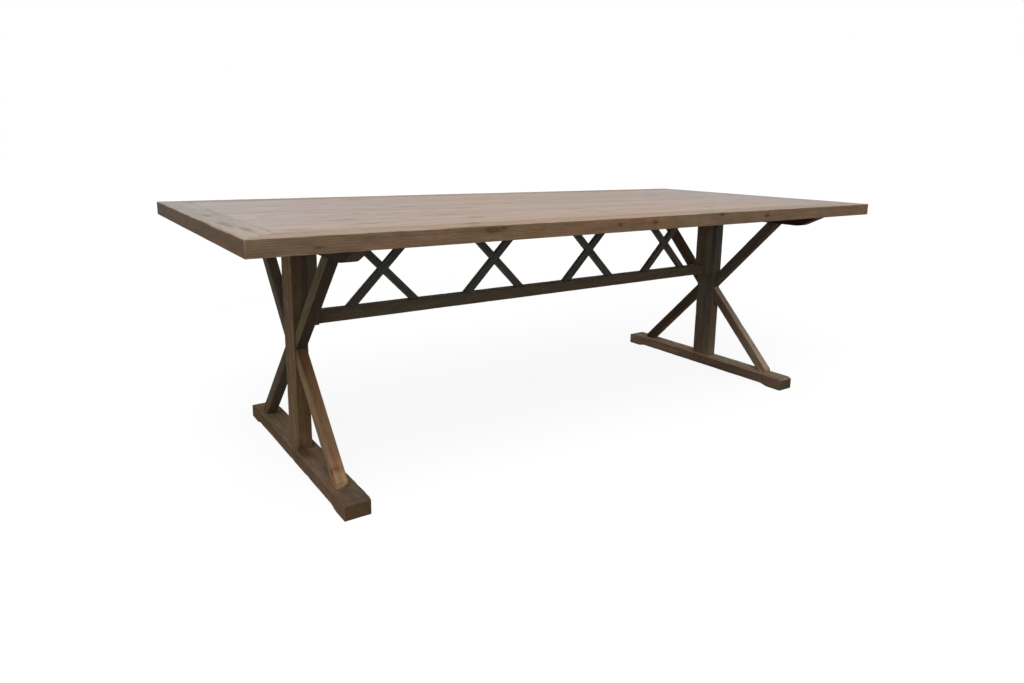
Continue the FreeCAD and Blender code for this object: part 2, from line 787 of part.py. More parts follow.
bars("foot_pegs", "peg_diameter / 2", "foot_width", [
    (f"{sign} * (trestle_offset - foot_inset) - foot_width / 2", f"{i} * peg_spread",
     "foot_peg_height", Y_AXIS, QUARTER_TURN)
    for _, sign in EVERY_SIDE for i in (1, -1)])
bars("bearer_pegs", "peg_diameter / 2", "bearer_width", [
    (f"{sign} * trestle_offset - bearer_width / 2", f"{i} * peg_spread",
     "bearer_bottom + bearer_peg_height", Y_AXIS, QUARTER_TURN)
    for _, sign in EVERY_SIDE for i in (1, -1)])
brace_dowel_half = "(post_width / 2 + brace_dowel_in - dowel_end_gap)"
bars("brace_dowels", "brace_dowel_diameter / 2", f"2 * {brace_dowel_half}", [
    (f"{sign} * trestle_offset", f"-{brace_dowel_half}", height, X_AXIS, -QUARTER_TURN)
    for _, sign in EVERY_SIDE for height in brace_dowel_heights()])
lattice_dowel_lows = ("beam_top - lattice_dowel_base + dowel_end_gap",
                      "rail_bottom - lattice_dowel_in + dowel_end_gap")
bars("lattice_dowels", "lattice_dowel_diameter / 2",
     "lattice_dowel_in + lattice_dowel_base - 2 * dowel_end_gap", [
         (x, "0", low, Z_AXIS, 0) for x in lattice_feet() for low in lattice_dowel_lows])

# ---------------------------------------------------------------- checks and files

doc.recompute()
for item in doc.Objects:
    if "Invalid" in item.State or "Error" in item.State:
        raise RuntimeError(f"{item.Name} did not build: {item.State}")
for piece in subparts:
    if piece.Shape.isNull() or not piece.Shape.isValid():
        raise RuntimeError(f"{piece.Label} has no valid shape")

os.makedirs("parts", exist_ok=True)
for piece in subparts:
    piece.Shape.exportStep(os.path.join("parts", piece.Label + ".step"))
print(len(subparts), "pieces written")
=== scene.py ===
import math
import random

import bmesh
import bpy
import numpy as np
from mathutils import Matrix, Vector, noise


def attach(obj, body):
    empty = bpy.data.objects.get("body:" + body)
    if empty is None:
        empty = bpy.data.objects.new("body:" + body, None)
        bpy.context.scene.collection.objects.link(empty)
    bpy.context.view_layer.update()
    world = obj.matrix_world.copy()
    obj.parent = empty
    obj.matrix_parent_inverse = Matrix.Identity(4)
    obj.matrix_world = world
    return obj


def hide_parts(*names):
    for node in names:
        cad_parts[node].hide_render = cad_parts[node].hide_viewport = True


# Looks of the sawbuck table. Metres, +Z up, +X along the table, -Y to its front.

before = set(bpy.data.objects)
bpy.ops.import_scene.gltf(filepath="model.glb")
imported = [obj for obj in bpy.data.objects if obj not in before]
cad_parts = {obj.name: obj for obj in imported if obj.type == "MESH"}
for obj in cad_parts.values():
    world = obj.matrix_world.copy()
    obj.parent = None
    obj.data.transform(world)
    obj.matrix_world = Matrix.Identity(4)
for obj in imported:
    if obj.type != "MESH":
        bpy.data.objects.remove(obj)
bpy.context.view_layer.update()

# ------------------------------------------------------------------ sizes, as in the CAD

TOP = 0.762
TOP_THICK = 0.042
UNDER = TOP - TOP_THICK
TOP_HALF = (1.2, 0.55)
BORDER = 0.085
PLANKS = 7

TRESTLE = 0.932
FOOT_X = 0.927
FOOT_LENGTH = 0.87
FOOT_WIDE = 0.075
FOOT_TALL = 0.047
FOOT_PAD = 0.062
FOOT_RUN = 0.036
FOOT_RELIEF = 0.008
POST_WIDE = 0.09
POST_THICK = 0.042
BEARER_LOW = 0.676
BEARER_WIDE = 0.042
BEARER_LENGTH = 1.040
BEARER_FLAT = 0.88
BEARER_LIP = 0.004

BRACE_DEEP = 0.037
BRACE_THICK = 0.033
BRACE_MEET = 0.364
BRACE_REACH = {"upper": 0.341, "lower": 0.358}
BRACE_TOES = {"upper": 0.005, "lower": 0.015}

BEAM_LOW = 0.425
BEAM_TALL = 0.040
RAIL_TALL = 0.034
FRAME_WIDE = 0.036
UPRIGHT_THICK = 0.041
UPRIGHT_WIDE = 0.062
UPRIGHT_X = TRESTLE - (POST_THICK + UPRIGHT_THICK) / 2
FRAME_LENGTH = 2 * UPRIGHT_X - UPRIGHT_THICK
LATTICE_MIDDLES = (-0.649, -0.227, 0.210, 0.627)
LATTICE_SPREAD = 0.219
LATTICE_DEEP = 0.024
LATTICE_THICK = 0.020

BOLT_HEIGHTS = (0.494, 0.640)
PLUG_RADIUS = 0.012
PLUG_DEEP = 0.005
PEG_RADIUS = 0.0045
PEG_SPREAD = 0.018
FOOT_PEG_Z = 0.033
BEARER_PEG_Z = 0.692

X, Y, Z = Vector((1, 0, 0)), Vector((0, 1, 0)), Vector((0, 0, 1))


# ------------------------------------------------------------------ camera

IMAGE_WIDTH, IMAGE_HEIGHT = 1024, 683
FOCAL = 700.09
CENTRE = (520.80, 286.93)
SENSOR = 36
EYE = (-1.5633, -2.0398, 0.9551)
YAW, PITCH, ROLL = 0.6195, 0.1952, 0.0179


def add_camera():
    """The photograph's viewpoint. The focal length and the centre are in its pixels."""
    level = math.cos(PITCH)
    ahead = Vector((math.sin(YAW) * level, math.cos(YAW) * level, -math.sin(PITCH)))
    right = ahead.cross(Z).normalized()
    up = right.cross(ahead)
    side = right * math.cos(ROLL) + up * math.sin(ROLL)
    above = up * math.cos(ROLL) - right * math.sin(ROLL)
    data = bpy.data.cameras.new("camera")
    data.sensor_width = SENSOR
    data.lens = FOCAL * SENSOR / IMAGE_WIDTH
    data.shift_x = (IMAGE_WIDTH / 2 - CENTRE[0]) / IMAGE_WIDTH
    data.shift_y = (CENTRE[1] - IMAGE_HEIGHT / 2) / IMAGE_WIDTH
    camera = bpy.data.objects.new("camera", data)
    turn = Matrix((side, above, -ahead)).transposed().to_4x4()
    camera.matrix_world = Matrix.Translation(EYE) @ turn
    bpy.context.scene.collection.objects.link(camera)
    bpy.context.scene.camera = camera


add_camera()


# ------------------------------------------------------------------ node helpers

def srgb(r, g, b):
    """A colour given as the eye sees it, from 0 to 255, as the shader wants it."""
    def linear(c):
        c /= 255
        return c / 12.92 if c <= 0.04045 else ((c + 0.055) / 1.055) ** 2.4
    return (linear(r), linear(g), linear(b), 1.0)


def darker(colour, share):
    return tuple(c * share for c in colour[:3]) + (1,)


class Tree:
    """The nodes of a material or a world, with short words for those that are used."""

    def __init__(self, owner):
        owner.use_nodes = True
        self.owner = owner
        self.nodes = owner.node_tree.nodes
        self.links = owner.node_tree.links
        self.nodes.clear()

    def node(self, kind, inputs=(), **settings):
        made = self.nodes.new(kind)
        for key, value in settings.items():
            setattr(made, key, value)
        for key, value in dict(inputs).items():
            self.feed(made.inputs[key], value)
        return made

    def feed(self, socket, value):
        """Link a socket to a node or to another socket, or give it a value."""
        if isinstance(value, bpy.types.Node):
            value = value.outputs[0]
        if isinstance(value, bpy.types.NodeSocket):
            self.links.new(value, socket)
        elif value is not None:
            socket.default_value = value

    def math(self, operation, a, b=None, c=None, clamp=False):
        inputs = {0: a, 1: b, 2: c}
        made = self.node("ShaderNodeMath", inputs, operation=operation, use_clamp=clamp)
        return made.outputs[0]

    def vector(self, operation, a, b=None, scale=None):
        inputs = {0: a, 1: b, 3: scale}
        made = self.node("ShaderNodeVectorMath", inputs, operation=operation)
        return made.outputs["Value" if operation in ("LENGTH", "DOT_PRODUCT") else "Vector"]

    def parts(self, vector):
        """The three parts of a vector."""
        return tuple(self.node("ShaderNodeSeparateXYZ", {0: vector}).outputs)

    def noise(self, where, scale, detail=2.0, rough=0.5, lopsided=0.0, out="Fac"):
        """Noise stretched by a scale for each axis."""
        stretched = self.vector("MULTIPLY", where, scale)
        made = self.node("ShaderNodeTexNoise", {
            "Vector": stretched, "Scale": 1.0, "Detail": detail, "Roughness": rough,
            "Distortion": lopsided})
        return made.outputs[out]

    def span(self, value, low, high, to_low=0.0, to_high=1.0):
        """A value carried smoothly from one range to another, and held at its ends."""
        made = self.node("ShaderNodeMapRange", {
            0: value, 1: low, 2: high, 3: to_low, 4: to_high}, interpolation_type="SMOOTHSTEP")
        return made.outputs[0]

    def mix(self, share, a, b, blend="MIX"):
        made = self.node("ShaderNodeMix", data_type="RGBA", blend_type=blend)
        for index, value in ((0, share), (6, a), (7, b)):
            self.feed(made.inputs[index], value)
        return made.outputs[2]

    def attribute(self, name, out="Vector"):
        return self.node("ShaderNodeAttribute", attribute_name=name).outputs[out]

    def here(self):
        """The place of a point in the table's own frame."""
        return self.node("ShaderNodeTexCoord").outputs["Object"]

    def looked_at(self):
        """1 for what the camera sees, also by way of metal or glass, and 0 for other light."""
        path = self.node("ShaderNodeLightPath").outputs
        bounced = self.math("MAXIMUM", path["Is Glossy Ray"], path["Is Transmission Ray"])
        return self.math("MAXIMUM", path["Is Camera Ray"], bounced)

    def finish(self, colour, roughness, height, depth, specular=0.35, metallic=0.0, strength=1.0):
        bump = self.node("ShaderNodeBump", {"Height": height, "Distance": depth,
                                            "Strength": strength})
        shader = self.node("ShaderNodeBsdfPrincipled", {
            "Base Color": colour, "Roughness": roughness, "Metallic": metallic,
            "Specular IOR Level": specular, "Normal": bump})
        self.node("ShaderNodeOutputMaterial", {0: shader})
        return self.owner


def new_material(name):
    return Tree(bpy.data.materials.new(name))


# ------------------------------------------------------------------ wood

RING_GAP = 0.0046
KNOT_CELLS = (3.4, 6.4, 6.4)
KNOT_SIZE = 0.062
KNOT_MERGE = 0.3
# how the year rings are bent: the waves' scale, and how far they reach
RING_WAVES = (((1.4, 7.0, 7.0), 0.045), ((9.0, 30.0, 30.0), 0.006))
RING_PUSH = 0.016
FIBRE_CONTRAST = 0.44
PORE_CONTRAST = 0.16
GREY_SHARE = 0.5
BUMP_DEPTH = 0.0007


def placed_knots(t, knots):
    """How near the surface is to the nearest listed knot: 0 at its heart, 1 at its rim.

    A knot is (x, y, z, half length, half width, half height) in the table's own frame. Scuffs
    are listed in the same way.
    """
    here = t.here()
    nearest = None
    for x, y, z, *halves in knots:
        off = t.vector("SUBTRACT", here, (x, y, z))
        off = t.vector("MULTIPLY", off, tuple(1 / h for h in halves))
        away = t.vector("LENGTH", off)
        nearest = away if nearest is None else t.math("SMOOTH_MIN", nearest, away, KNOT_MERGE)
    return nearest


def knot_field(t, place, ragged, knots):
    """Nearness to any knot: those at random through the tree, and those at known places."""
    cells = t.node("ShaderNodeTexVoronoi", {
        "Vector": t.vector("MULTIPLY", place, KNOT_CELLS), "Scale": 1.0}, feature="F1")
    knot = t.math("DIVIDE", cells.outputs["Distance"], KNOT_SIZE)
    if knots:
        knot = t.math("SMOOTH_MIN", knot, placed_knots(t, knots), KNOT_MERGE)
    return t.math("ADD", knot, t.math("MULTIPLY", t.math("SUBTRACT", ragged, 0.5), 1.5))


def year_rings(t, grain, place, pith_v, pith_w, knot):
    """Rings round the pith, bent by waves and pushed aside by knots: 1 where they are dark."""
    bent = grain
    for scale, reach in RING_WAVES:
        wave = t.vector("SUBTRACT", t.noise(place, scale, out="Color"), (0.5, 0.5, 0.5))
        bent = t.vector("ADD", bent, t.vector("MULTIPLY", wave, (0.0, reach, reach)))
    _, v, w = t.parts(bent)
    across, through = t.math("SUBTRACT", v, pith_v), t.math("SUBTRACT", w, pith_w)
    radius = t.math("SQRT", t.math("ADD", t.math("MULTIPLY", across, across),
                                   t.math("MULTIPLY", through, through)))
    radius = t.math("ADD", radius, t.span(knot, 0.0, 3.0, RING_PUSH, 0.0))
    turn = t.math("FRACT", t.math("DIVIDE", radius, RING_GAP))
    return t.math("MULTIPLY", t.span(turn, 0.15, 0.85), t.span(turn, 0.86, 1.0, 1.0, 0.0))


def stained(t, place, colour, mottle):
    """Uneven stain: olive in places and purplish in others, thicker and thinner."""
    blotch = t.span(t.noise(place, (5.0, 24.0, 24.0), 3.0, 0.6), 0.38, 0.62)
    stain = t.mix(blotch, (1.05, 0.93, 0.92, 1), (0.93, 1.0, 0.90, 1))
    colour = t.mix(mottle, colour, stain, "MULTIPLY")
    cloud = t.noise(place, (16.0, 60.0, 60.0), 3.0, 0.65)
    thickness = t.math("MULTIPLY_ADD", t.math("SUBTRACT", cloud, 0.5), mottle, 1.0)
    return t.vector("SCALE", colour, scale=thickness)


def scratches(t, place, seed, amount):
    """Fine crossed lines on what feet reach."""
    crossed = t.node("ShaderNodeCombineXYZ", {
        0: t.vector("DOT_PRODUCT", place, (18.0, 11.0, 4.0)),
        1: t.vector("DOT_PRODUCT", place, (-110.0, 190.0, 80.0)), 2: seed}).outputs[0]
    return t.span(t.noise(crossed, (1.0, 1.0, 1.0), 1.0), 0.70, 0.78, 0.0, amount)


def wood(name, early, late, grey, worn, heart, end, knots=(), streak=0.5,
         wear=(0.0006, 0.0035), wear_share=0.7, rough=(0.55, 0.75), ring_share=0.5,
         specular=0.15, mottle=0.8, seam=0.0, inner_seam=0.0, scratched=0.0, knot_depth=0.85,
         matt_edge=0.0, scuffs=(), scuff=None):
    """A board's material. It reads the board's own coordinates, so grain follows each board.

    wear is how far from an arris the stain is rubbed: at least, and how much more at most.
    """
    t = new_material(name)
    grain, halves = t.attribute("grain"), t.attribute("halves")
    seed, pith_v, pith_w = t.parts(t.attribute("board"))
    place = t.vector("ADD", grain, t.vector("SCALE", (3.1, 1.7, 2.3), scale=seed))
    ragged = t.noise(place, (110, 240, 240), 3.0, 0.6)
    knot = knot_field(t, place, ragged, knots)
    ring = year_rings(t, grain, place, pith_v, pith_w, knot)

    # streaks, slow patches, fibres and pores along the board
    streaks = t.noise(place, (1.7, 34.0, 34.0), 4.0, 0.62, 0.4)
    patches = t.noise(place, (1.3, 5.5, 5.5), 3.0, 0.55)
    fibres = t.noise(place, (11.0, 420.0, 420.0), 3.0, 0.6)
    pores = t.span(t.noise(place, (26.0, 1500.0, 1500.0), 1.0), 0.60, 0.74)
    dark = t.math("ADD", t.math("MULTIPLY", ring, ring_share),
                  t.math("MULTIPLY", t.span(streaks, 0.36, 0.72), streak), clamp=True)
    colour = t.mix(dark, early, late)
    colour = t.mix(t.math("MULTIPLY", t.span(patches, 0.42, 0.66), GREY_SHARE), colour, grey)
    weave = t.math("MULTIPLY_ADD", t.math("SUBTRACT", fibres, 0.5), FIBRE_CONTRAST, 1.0)
    weave = t.math("SUBTRACT", weave, t.math("MULTIPLY", pores, PORE_CONTRAST))
    colour = stained(t, place, t.vector("SCALE", colour, scale=weave), mottle)

    # distance to the nearest arris, from the board's half sizes
    gap_u, gap_v, gap_w = t.parts(t.vector("SUBTRACT", halves, t.vector("ABSOLUTE", grain)))
    nearer, farther = t.math("MINIMUM", gap_u, gap_v), t.math("MAXIMUM", gap_u, gap_v)
    arris = t.math("MAXIMUM", nearer, t.math("MINIMUM", farther, gap_w))

    # end grain, and the tone of this board at this place, with its painted light and shade
    end_grain = t.span(gap_u, 0.0006, 0.0014, 1.0, 0.0)
    colour = t.mix(t.math("MULTIPLY", end_grain, 0.7), colour, end)
    tone = t.attribute("tone", "Color")
    colour = t.mix(1.0, colour, tone, "MULTIPLY")
    # the rubbed wood is dimmed by the tone, painted shade and all
    dimmed = t.vector("MINIMUM", t.vector("SCALE", tone, scale=1.4), (1, 1, 1))
    rubbed_wood = t.vector("MULTIPLY", worn[:3], dimmed)

    # the joints between the top's boards, and scratches on what feet reach
    if seam:
        joint = t.span(gap_v, 0.0003, 0.0014, seam, 0.0)
        colour = t.mix(joint, colour, darker(late, 0.3))
    if inner_seam:
        inside = t.math("SUBTRACT", t.parts(halves)[1], t.parts(grain)[1])
        joint = t.span(inside, 0.0006, 0.0030, inner_seam, 0.0)
        colour = t.mix(joint, colour, darker(late, 0.3))
    if scratched:
        colour = t.mix(scratches(t, place, seed, scratched), colour, rubbed_wood)

    # stain rubbed off the arrises, scuffs, and what the "bare" attribute lays open
    rub = t.noise(place, (7.0, 60.0, 60.0), 3.0, 0.65)
    reach = t.math("MULTIPLY_ADD", t.span(rub, 0.35, 0.7), wear[1], wear[0])
    rubbed = t.math("SUBTRACT", 1.0, t.math("DIVIDE", arris, reach), clamp=True)
    colour = t.mix(t.math("MULTIPLY", rubbed, wear_share), colour, rubbed_wood)
    if scuffs:
        near = t.math("ADD", placed_knots(t, scuffs), t.math("SUBTRACT", ragged, 0.5))
        colour = t.mix(t.span(near, 0.35, 1.2, 0.55, 0.0), colour, scuff)
    bare = t.math("MULTIPLY", t.attribute("bare", "Fac"), t.span(rub, 0.3, 0.6, 0.35, 1.0))
    bare_wood = t.mix(t.span(streaks, 0.40, 0.58, 0.0, 0.55), rubbed_wood,
                      t.mix(0.6, early, heart))
    colour = t.mix(bare, colour, bare_wood)

    # knots: a brown halo, a reddish heart and a dark rim
    halo = t.span(knot, 0.9, 2.6, 0.42, 0.0)
    core = t.span(knot, 0.45, 1.20, knot_depth, 0.0)
    rim = t.math("MULTIPLY", t.span(knot, 0.50, 0.90), t.span(knot, 0.90, 1.30, 1.0, 0.0))
    colour = t.mix(halo, colour, t.mix(0.5, heart, late))
    colour = t.mix(core, colour, heart)
    colour = t.mix(t.math("MULTIPLY", rim, knot_depth * 0.7), colour, darker(heart, 0.4))

    roughness = t.math("MULTIPLY_ADD", streaks, rough[1] - rough[0], rough[0])
    if matt_edge:
        edge = t.span(gap_v, 0.0008, 0.0022, matt_edge, 0.0)
        roughness = t.math("ADD", roughness, edge, clamp=True)
    height = t.math("ADD", t.math("MULTIPLY", fibres, 0.5), t.math("MULTIPLY", ring, -0.25))
    height = t.math("SUBTRACT", height, t.math("MULTIPLY", pores, 0.35))
    height = t.math("SUBTRACT", height, t.math("MULTIPLY", rim, 0.6))
    return t.finish(colour, roughness, height, BUMP_DEPTH, specular)


TOP_KNOTS = [
    (-0.881, -0.040, TOP, 0.016, 0.0045, 0.01), (-0.776, -0.115, TOP, 0.012, 0.0060, 0.01),
    (-0.770, -0.070, TOP, 0.014, 0.0040, 0.01), (-0.883, -0.269, TOP, 0.030, 0.0055, 0.01),
    (-0.850, -0.250, TOP, 0.018, 0.0035, 0.01), (-0.856, -0.375, TOP, 0.034, 0.0050, 0.01),
    (-0.541, 0.051, TOP, 0.024, 0.0060, 0.01), (-0.551, -0.244, TOP, 0.036, 0.0065, 0.01),
    (-0.560, 0.410, TOP, 0.028, 0.0090, 0.01), (-0.397, -0.065, TOP, 0.024, 0.0050, 0.01),
    (-0.601, 0.134, TOP, 0.030, 0.0060, 0.01), (-0.720, 0.140, TOP, 0.024, 0.0060, 0.01),
    (-1.054, -0.435, TOP, 0.020, 0.0035, 0.01), (-1.040, -0.110, TOP, 0.014, 0.0040, 0.01),
    (-0.070, -0.245, TOP, 0.026, 0.0055, 0.01), (-0.055, -0.370, TOP, 0.022, 0.0045, 0.01),
    (0.310, -0.230, TOP, 0.024, 0.0055, 0.01), (0.720, 0.200, TOP, 0.024, 0.0070, 0.01),
]
FRONT = -TOP_HALF[1]
EDGE_KNOTS = [
    (-0.590, FRONT, 0.749, 0.019, 0.010, 0.0055), (-0.558, FRONT, 0.753, 0.010, 0.010, 0.0030),
    (-0.005, FRONT, 0.743, 0.009, 0.010, 0.0050), (0.546, FRONT, 0.742, 0.010, 0.010, 0.0050),
    (-1.045, FRONT, 0.735, 0.008, 0.010, 0.0025), (-0.149, FRONT, 0.743, 0.007, 0.010, 0.0030),
    (0.305, FRONT, 0.755, 0.012, 0.010, 0.0035), (1.155, 0.12, TOP, 0.010, 0.018, 0.01),
]
LEFT_END_KNOTS = [
    (-1.159, 0.001, TOP, 0.006, 0.026, 0.01), (-1.166, -0.246, TOP, 0.007, 0.045, 0.01),
    (-1.151, -0.372, TOP, 0.006, 0.028, 0.01),
]
# dark reddish marks drawn as knots: one over the foot and the left post at the post's front, one
# on that post's outer face
TRESTLE_DARK_MARKS = [
    (-0.946, -0.064, FOOT_TALL, 0.013, 0.030, 0.018), (-0.953, 0.006, 0.496, 0.010, 0.006, 0.004),
]
FOOT_SCUFFS = [
    (-0.913, -0.404, FOOT_TALL, 0.0030, 0.022, 0.01),
    (-0.941, -0.211, FOOT_TALL, 0.010, 0.034, 0.01),
    (-0.949, -0.152, FOOT_TALL, 0.004, 0.010, 0.01),
    (-0.972, -0.110, FOOT_TALL, 0.003, 0.016, 0.01),
    (-0.957, 0.120, FOOT_TALL, 0.008, 0.050, 0.01),
]
BRACE_KNOTS = [(-0.936, -0.309, 0.086, 0.015, 0.007, 0.008)]


def border(name, heart, knots, knot_depth, mottle):
    """The border boards' wood; the left board differs in its knots."""
    return wood(
        name, early=srgb(150, 120, 92), late=srgb(106, 82, 60), grey=srgb(130, 114, 97),
        worn=srgb(206, 182, 156), heart=heart, end=srgb(92, 73, 54), knots=knots,
        ring_share=0.25, streak=0.4, wear=(0.0012, 0.0040), wear_share=0.8, rough=(0.40, 0.58),
        specular=0.20, mottle=mottle, inner_seam=0.55, knot_depth=knot_depth, matt_edge=0.30)


plank_wood = wood(
    "plank_wood", early=srgb(158, 130, 108), late=srgb(118, 92, 71), grey=srgb(146, 126, 112),
    worn=srgb(190, 170, 142), heart=srgb(98, 70, 52), end=srgb(84, 66, 50), knots=TOP_KNOTS,
    ring_share=0.36, streak=0.45, wear=(0.0002, 0.0006), wear_share=0.15, rough=(0.38, 0.55),
    specular=0.40, mottle=0.4, seam=0.30, knot_depth=0.7)
border_wood = border("border_wood", srgb(112, 70, 48), EDGE_KNOTS, 0.7, 0.9)
end_border_wood = border("end_border_wood", srgb(112, 99, 88), LEFT_END_KNOTS, 0.5, 0.55)
trestle_wood = wood(
    "trestle_wood", early=srgb(136, 107, 79), late=srgb(92, 69, 49), grey=srgb(120, 103, 88),
    worn=srgb(170, 140, 106), heart=srgb(82, 56, 42), end=srgb(80, 60, 43),
    knots=TRESTLE_DARK_MARKS, ring_share=0.35, wear_share=0.55, rough=(0.70, 0.88), specular=0.12,
    scratched=0.3, mottle=0.9, knot_depth=0.45, scuffs=FOOT_SCUFFS, scuff=srgb(132, 116, 106))
brace_wood = wood(
    "brace_wood", early=srgb(140, 108, 78), late=srgb(94, 69, 48), grey=srgb(120, 102, 84),
    worn=srgb(204, 168, 132), heart=srgb(122, 72, 50), end=srgb(80, 60, 43),
    knots=BRACE_KNOTS, ring_share=0.35, wear_share=0.5, rough=(0.65, 0.85), specular=0.12,
    scratched=0.2, mottle=0.9, knot_depth=0.7)
frame_wood = wood(
    "frame_wood", early=srgb(142, 126, 104), late=srgb(104, 90, 73), grey=srgb(130, 118, 101),
    worn=srgb(162, 142, 115), heart=srgb(70, 56, 43), end=srgb(80, 67, 53), wear_share=0.35,
    mottle=0.7)


def turned_wood():
    """Pegs and plugs, seen at their end grain, dark where they meet the board."""
    t = new_material("dowel_wood")
    here = t.here()
    speck = t.noise(here, (900, 900, 900), 2.0, 0.6)
    cloud = t.noise(here, (120, 120, 120), 3.0, 0.6)
    colour = t.mix(t.span(speck, 0.35, 0.65), srgb(118, 92, 69), srgb(88, 67, 49))
    colour = t.mix(t.span(cloud, 0.4, 0.7, 0.0, 0.5), colour, srgb(128, 104, 80))
    rim = t.math("MULTIPLY", t.attribute("bare", "Fac"), 0.35)
    colour = t.mix(rim, colour, srgb(56, 42, 31))
    return t.finish(colour, t.span(cloud, 0.3, 0.7, 0.55, 0.75), speck, 0.0004)


def metal(name, pale, dull):
    """Plated steel: a faint mottle with fine scratches."""
    t = new_material(name)
    here = t.here()
    mottle = t.noise(here, (160, 160, 160), 4.0, 0.6)
    scratch = t.noise(here, (2200, 2200, 180), 2.0, 0.6)
    colour = t.mix(t.span(mottle, 0.35, 0.7), pale, dull)
    rough = t.math("MULTIPLY_ADD", scratch, 0.25, 0.28)
    return t.finish(colour, rough, scratch, 0.0001, specular=0.5, metallic=1.0, strength=0.4)


dowel_wood = turned_wood()
bolt_steel = metal("bolt_steel", srgb(176, 177, 180), srgb(132, 133, 136))
screw_steel = metal("screw_steel", srgb(190, 176, 132), srgb(140, 126, 88))


# ------------------------------------------------------------------ boards

# a board's cross-section is drawn face by face, each followed by the corner at its end
FACES = ((0, -1), (1, 0), (0, 1), (-1, 0))
CORNERS = ((1, -1), (1, 1), (-1, 1), (-1, -1))
ARC = 4
COLUMN_GAP = 0.009
# the strip beside an arris that leaves room for nicks: its share of the half size, and its limit
ARRIS_SHARE, ARRIS_STRIP = 0.45, 0.006
# the sharpest arris, and the sharpest where an end is eased, which takes a share off the radius
SHARPEST, SHARPEST_END, END_LOSS = 0.0001, 0.00015, 0.7
# how an end is eased: how far from the end, and how far drawn in, as shares of its radius
END_EASING = ((0.0, 1.0), (0.16, 0.46), (0.5, 0.13), (1.0, 0.0))
# nicks: on arrises rounder than this, this wide, and this deep as a share of the radius
NICKED_FROM, NICK_WIDTHS, NICK_DEPTHS = 0.001, (0.004, 0.014), (0.3, 1.1)
# a direction counts as square to the upper or lower face from here on
SQUARE = 0.999
# where the heart of the tree may lie, beside the middle of the board and below it
PITH_ACROSS, PITH_BELOW = (-0.05, 0.05), (-0.09, -0.035)
# the half length that the wood is given where a board's ends don't wear
ENDLESS = 9.0
HAIR = 1e-7


def stations_along(length, leans, end_radius, breaks, step):
    """Where a board's rings lie: u, how u changes with v, and how far the ring is drawn in."""
    half = length / 2
    first, last = leans
    marks = [(2 * end_radius - half, first), *breaks, (half - 2 * end_radius, last)]
    stations = [(t * end_radius - half, first, inset * end_radius) for t, inset in END_EASING]
    for (u0, lean0), (u1, lean1) in zip(marks, marks[1:]):
        count = max(1, round((u1 - u0) / step))
        for share in np.arange(count) / count:
            stations.append((u0 + (u1 - u0) * share, lean0 + (lean1 - lean0) * share, 0.0))
    stations.append((*marks[-1], 0.0))
    stations += [(half - t * end_radius, last, inset * end_radius)
                 for t, inset in reversed(END_EASING)]
    return np.array(stations)


def rough_radii(where, radius, seed, spread, nicks):
    """Four corner radii along a board: uneven, with so many nicks to a metre of each arris."""
    draw = random.Random(seed)
    radii = np.zeros((len(where), 4))
    length = where[-1] - where[0]
    for k, wanted in enumerate(radius):
        slow = np.array([noise.noise(Vector((u * 9 + seed, k * 5.3, 0))) for u in where])
        quick = np.array([noise.noise(Vector((u * 60 + seed, k * 3.7, 9))) for u in where])
        radii[:, k] = wanted * (1 + spread * slow + spread * 0.5 * quick)
        for _ in range(int(nicks * length) if wanted > NICKED_FROM else 0):
            at, wide = draw.uniform(where[0], where[-1]), draw.uniform(*NICK_WIDTHS)
            deep = draw.uniform(*NICK_DEPTHS) * wanted
            radii[:, k] += deep * np.exp(-((where - at) / wide) ** 2)
    return radii


def station_rings(halves, radii, insets, columns, margin):
    """Rounded rectangles, one for each station, anticlockwise seen from the board's far end.

    radii holds four corner radii for each station. Returns the points and, for each point, the
    way out of the wood.
    """
    half = np.array(halves)[None, :] - insets[:, None]
    rounds = np.maximum(radii - insets[:, None] * END_LOSS, SHARPEST_END)
    points, outs = [], []
    for k, (face, corner) in enumerate(zip(FACES, CORNERS)):
        axis = k % 2
        reach = halves[axis] - margin[axis]
        steps = np.linspace(-reach, reach, columns[axis])
        if k >= 2:
            steps = steps[::-1]
        for s in steps:
            point = np.zeros((len(insets), 2))
            point[:, axis] = s
            point[:, 1 - axis] = half[:, 1 - axis] * face[1 - axis]
            points.append(point)
            outs.append(face)
        radius = rounds[:, k, None]
        centre = half * np.array(corner) - radius * np.array(corner)
        for angle in np.linspace(math.pi / 2 * (k - 1), math.pi / 2 * k, ARC):
            way = np.array((math.cos(angle), math.sin(angle)))
            points.append(centre + radius * way)
            outs.append(tuple(way))
    return np.stack(points, 1), np.array(outs)


def unevenness(u, v, w, seed):
    """How far a worn face stands out at a point, from about -1 to 1: broad and fine swells."""
    broad = noise.noise(Vector((u * 5 + seed * 3.3, v * 22, w * 22)))
    fine = noise.noise(Vector((u * 24 + seed, v * 60, w * 60 + 7)))
    return broad + 0.5 * fine


def tube_faces(rings, around, base=0):
    """The faces of a tube of rings, closed at both ends."""
    faces = []
    for ring in range(rings - 1):
        a, b = base + ring * around, base + (ring + 1) * around
        for j in range(around):
            k = (j + 1) % around
            faces.append((a + j, a + k, b + k, b + j))
    faces.append(tuple(base + j for j in reversed(range(around))))
    faces.append(tuple(base + (rings - 1) * around + j for j in range(around)))
    return faces


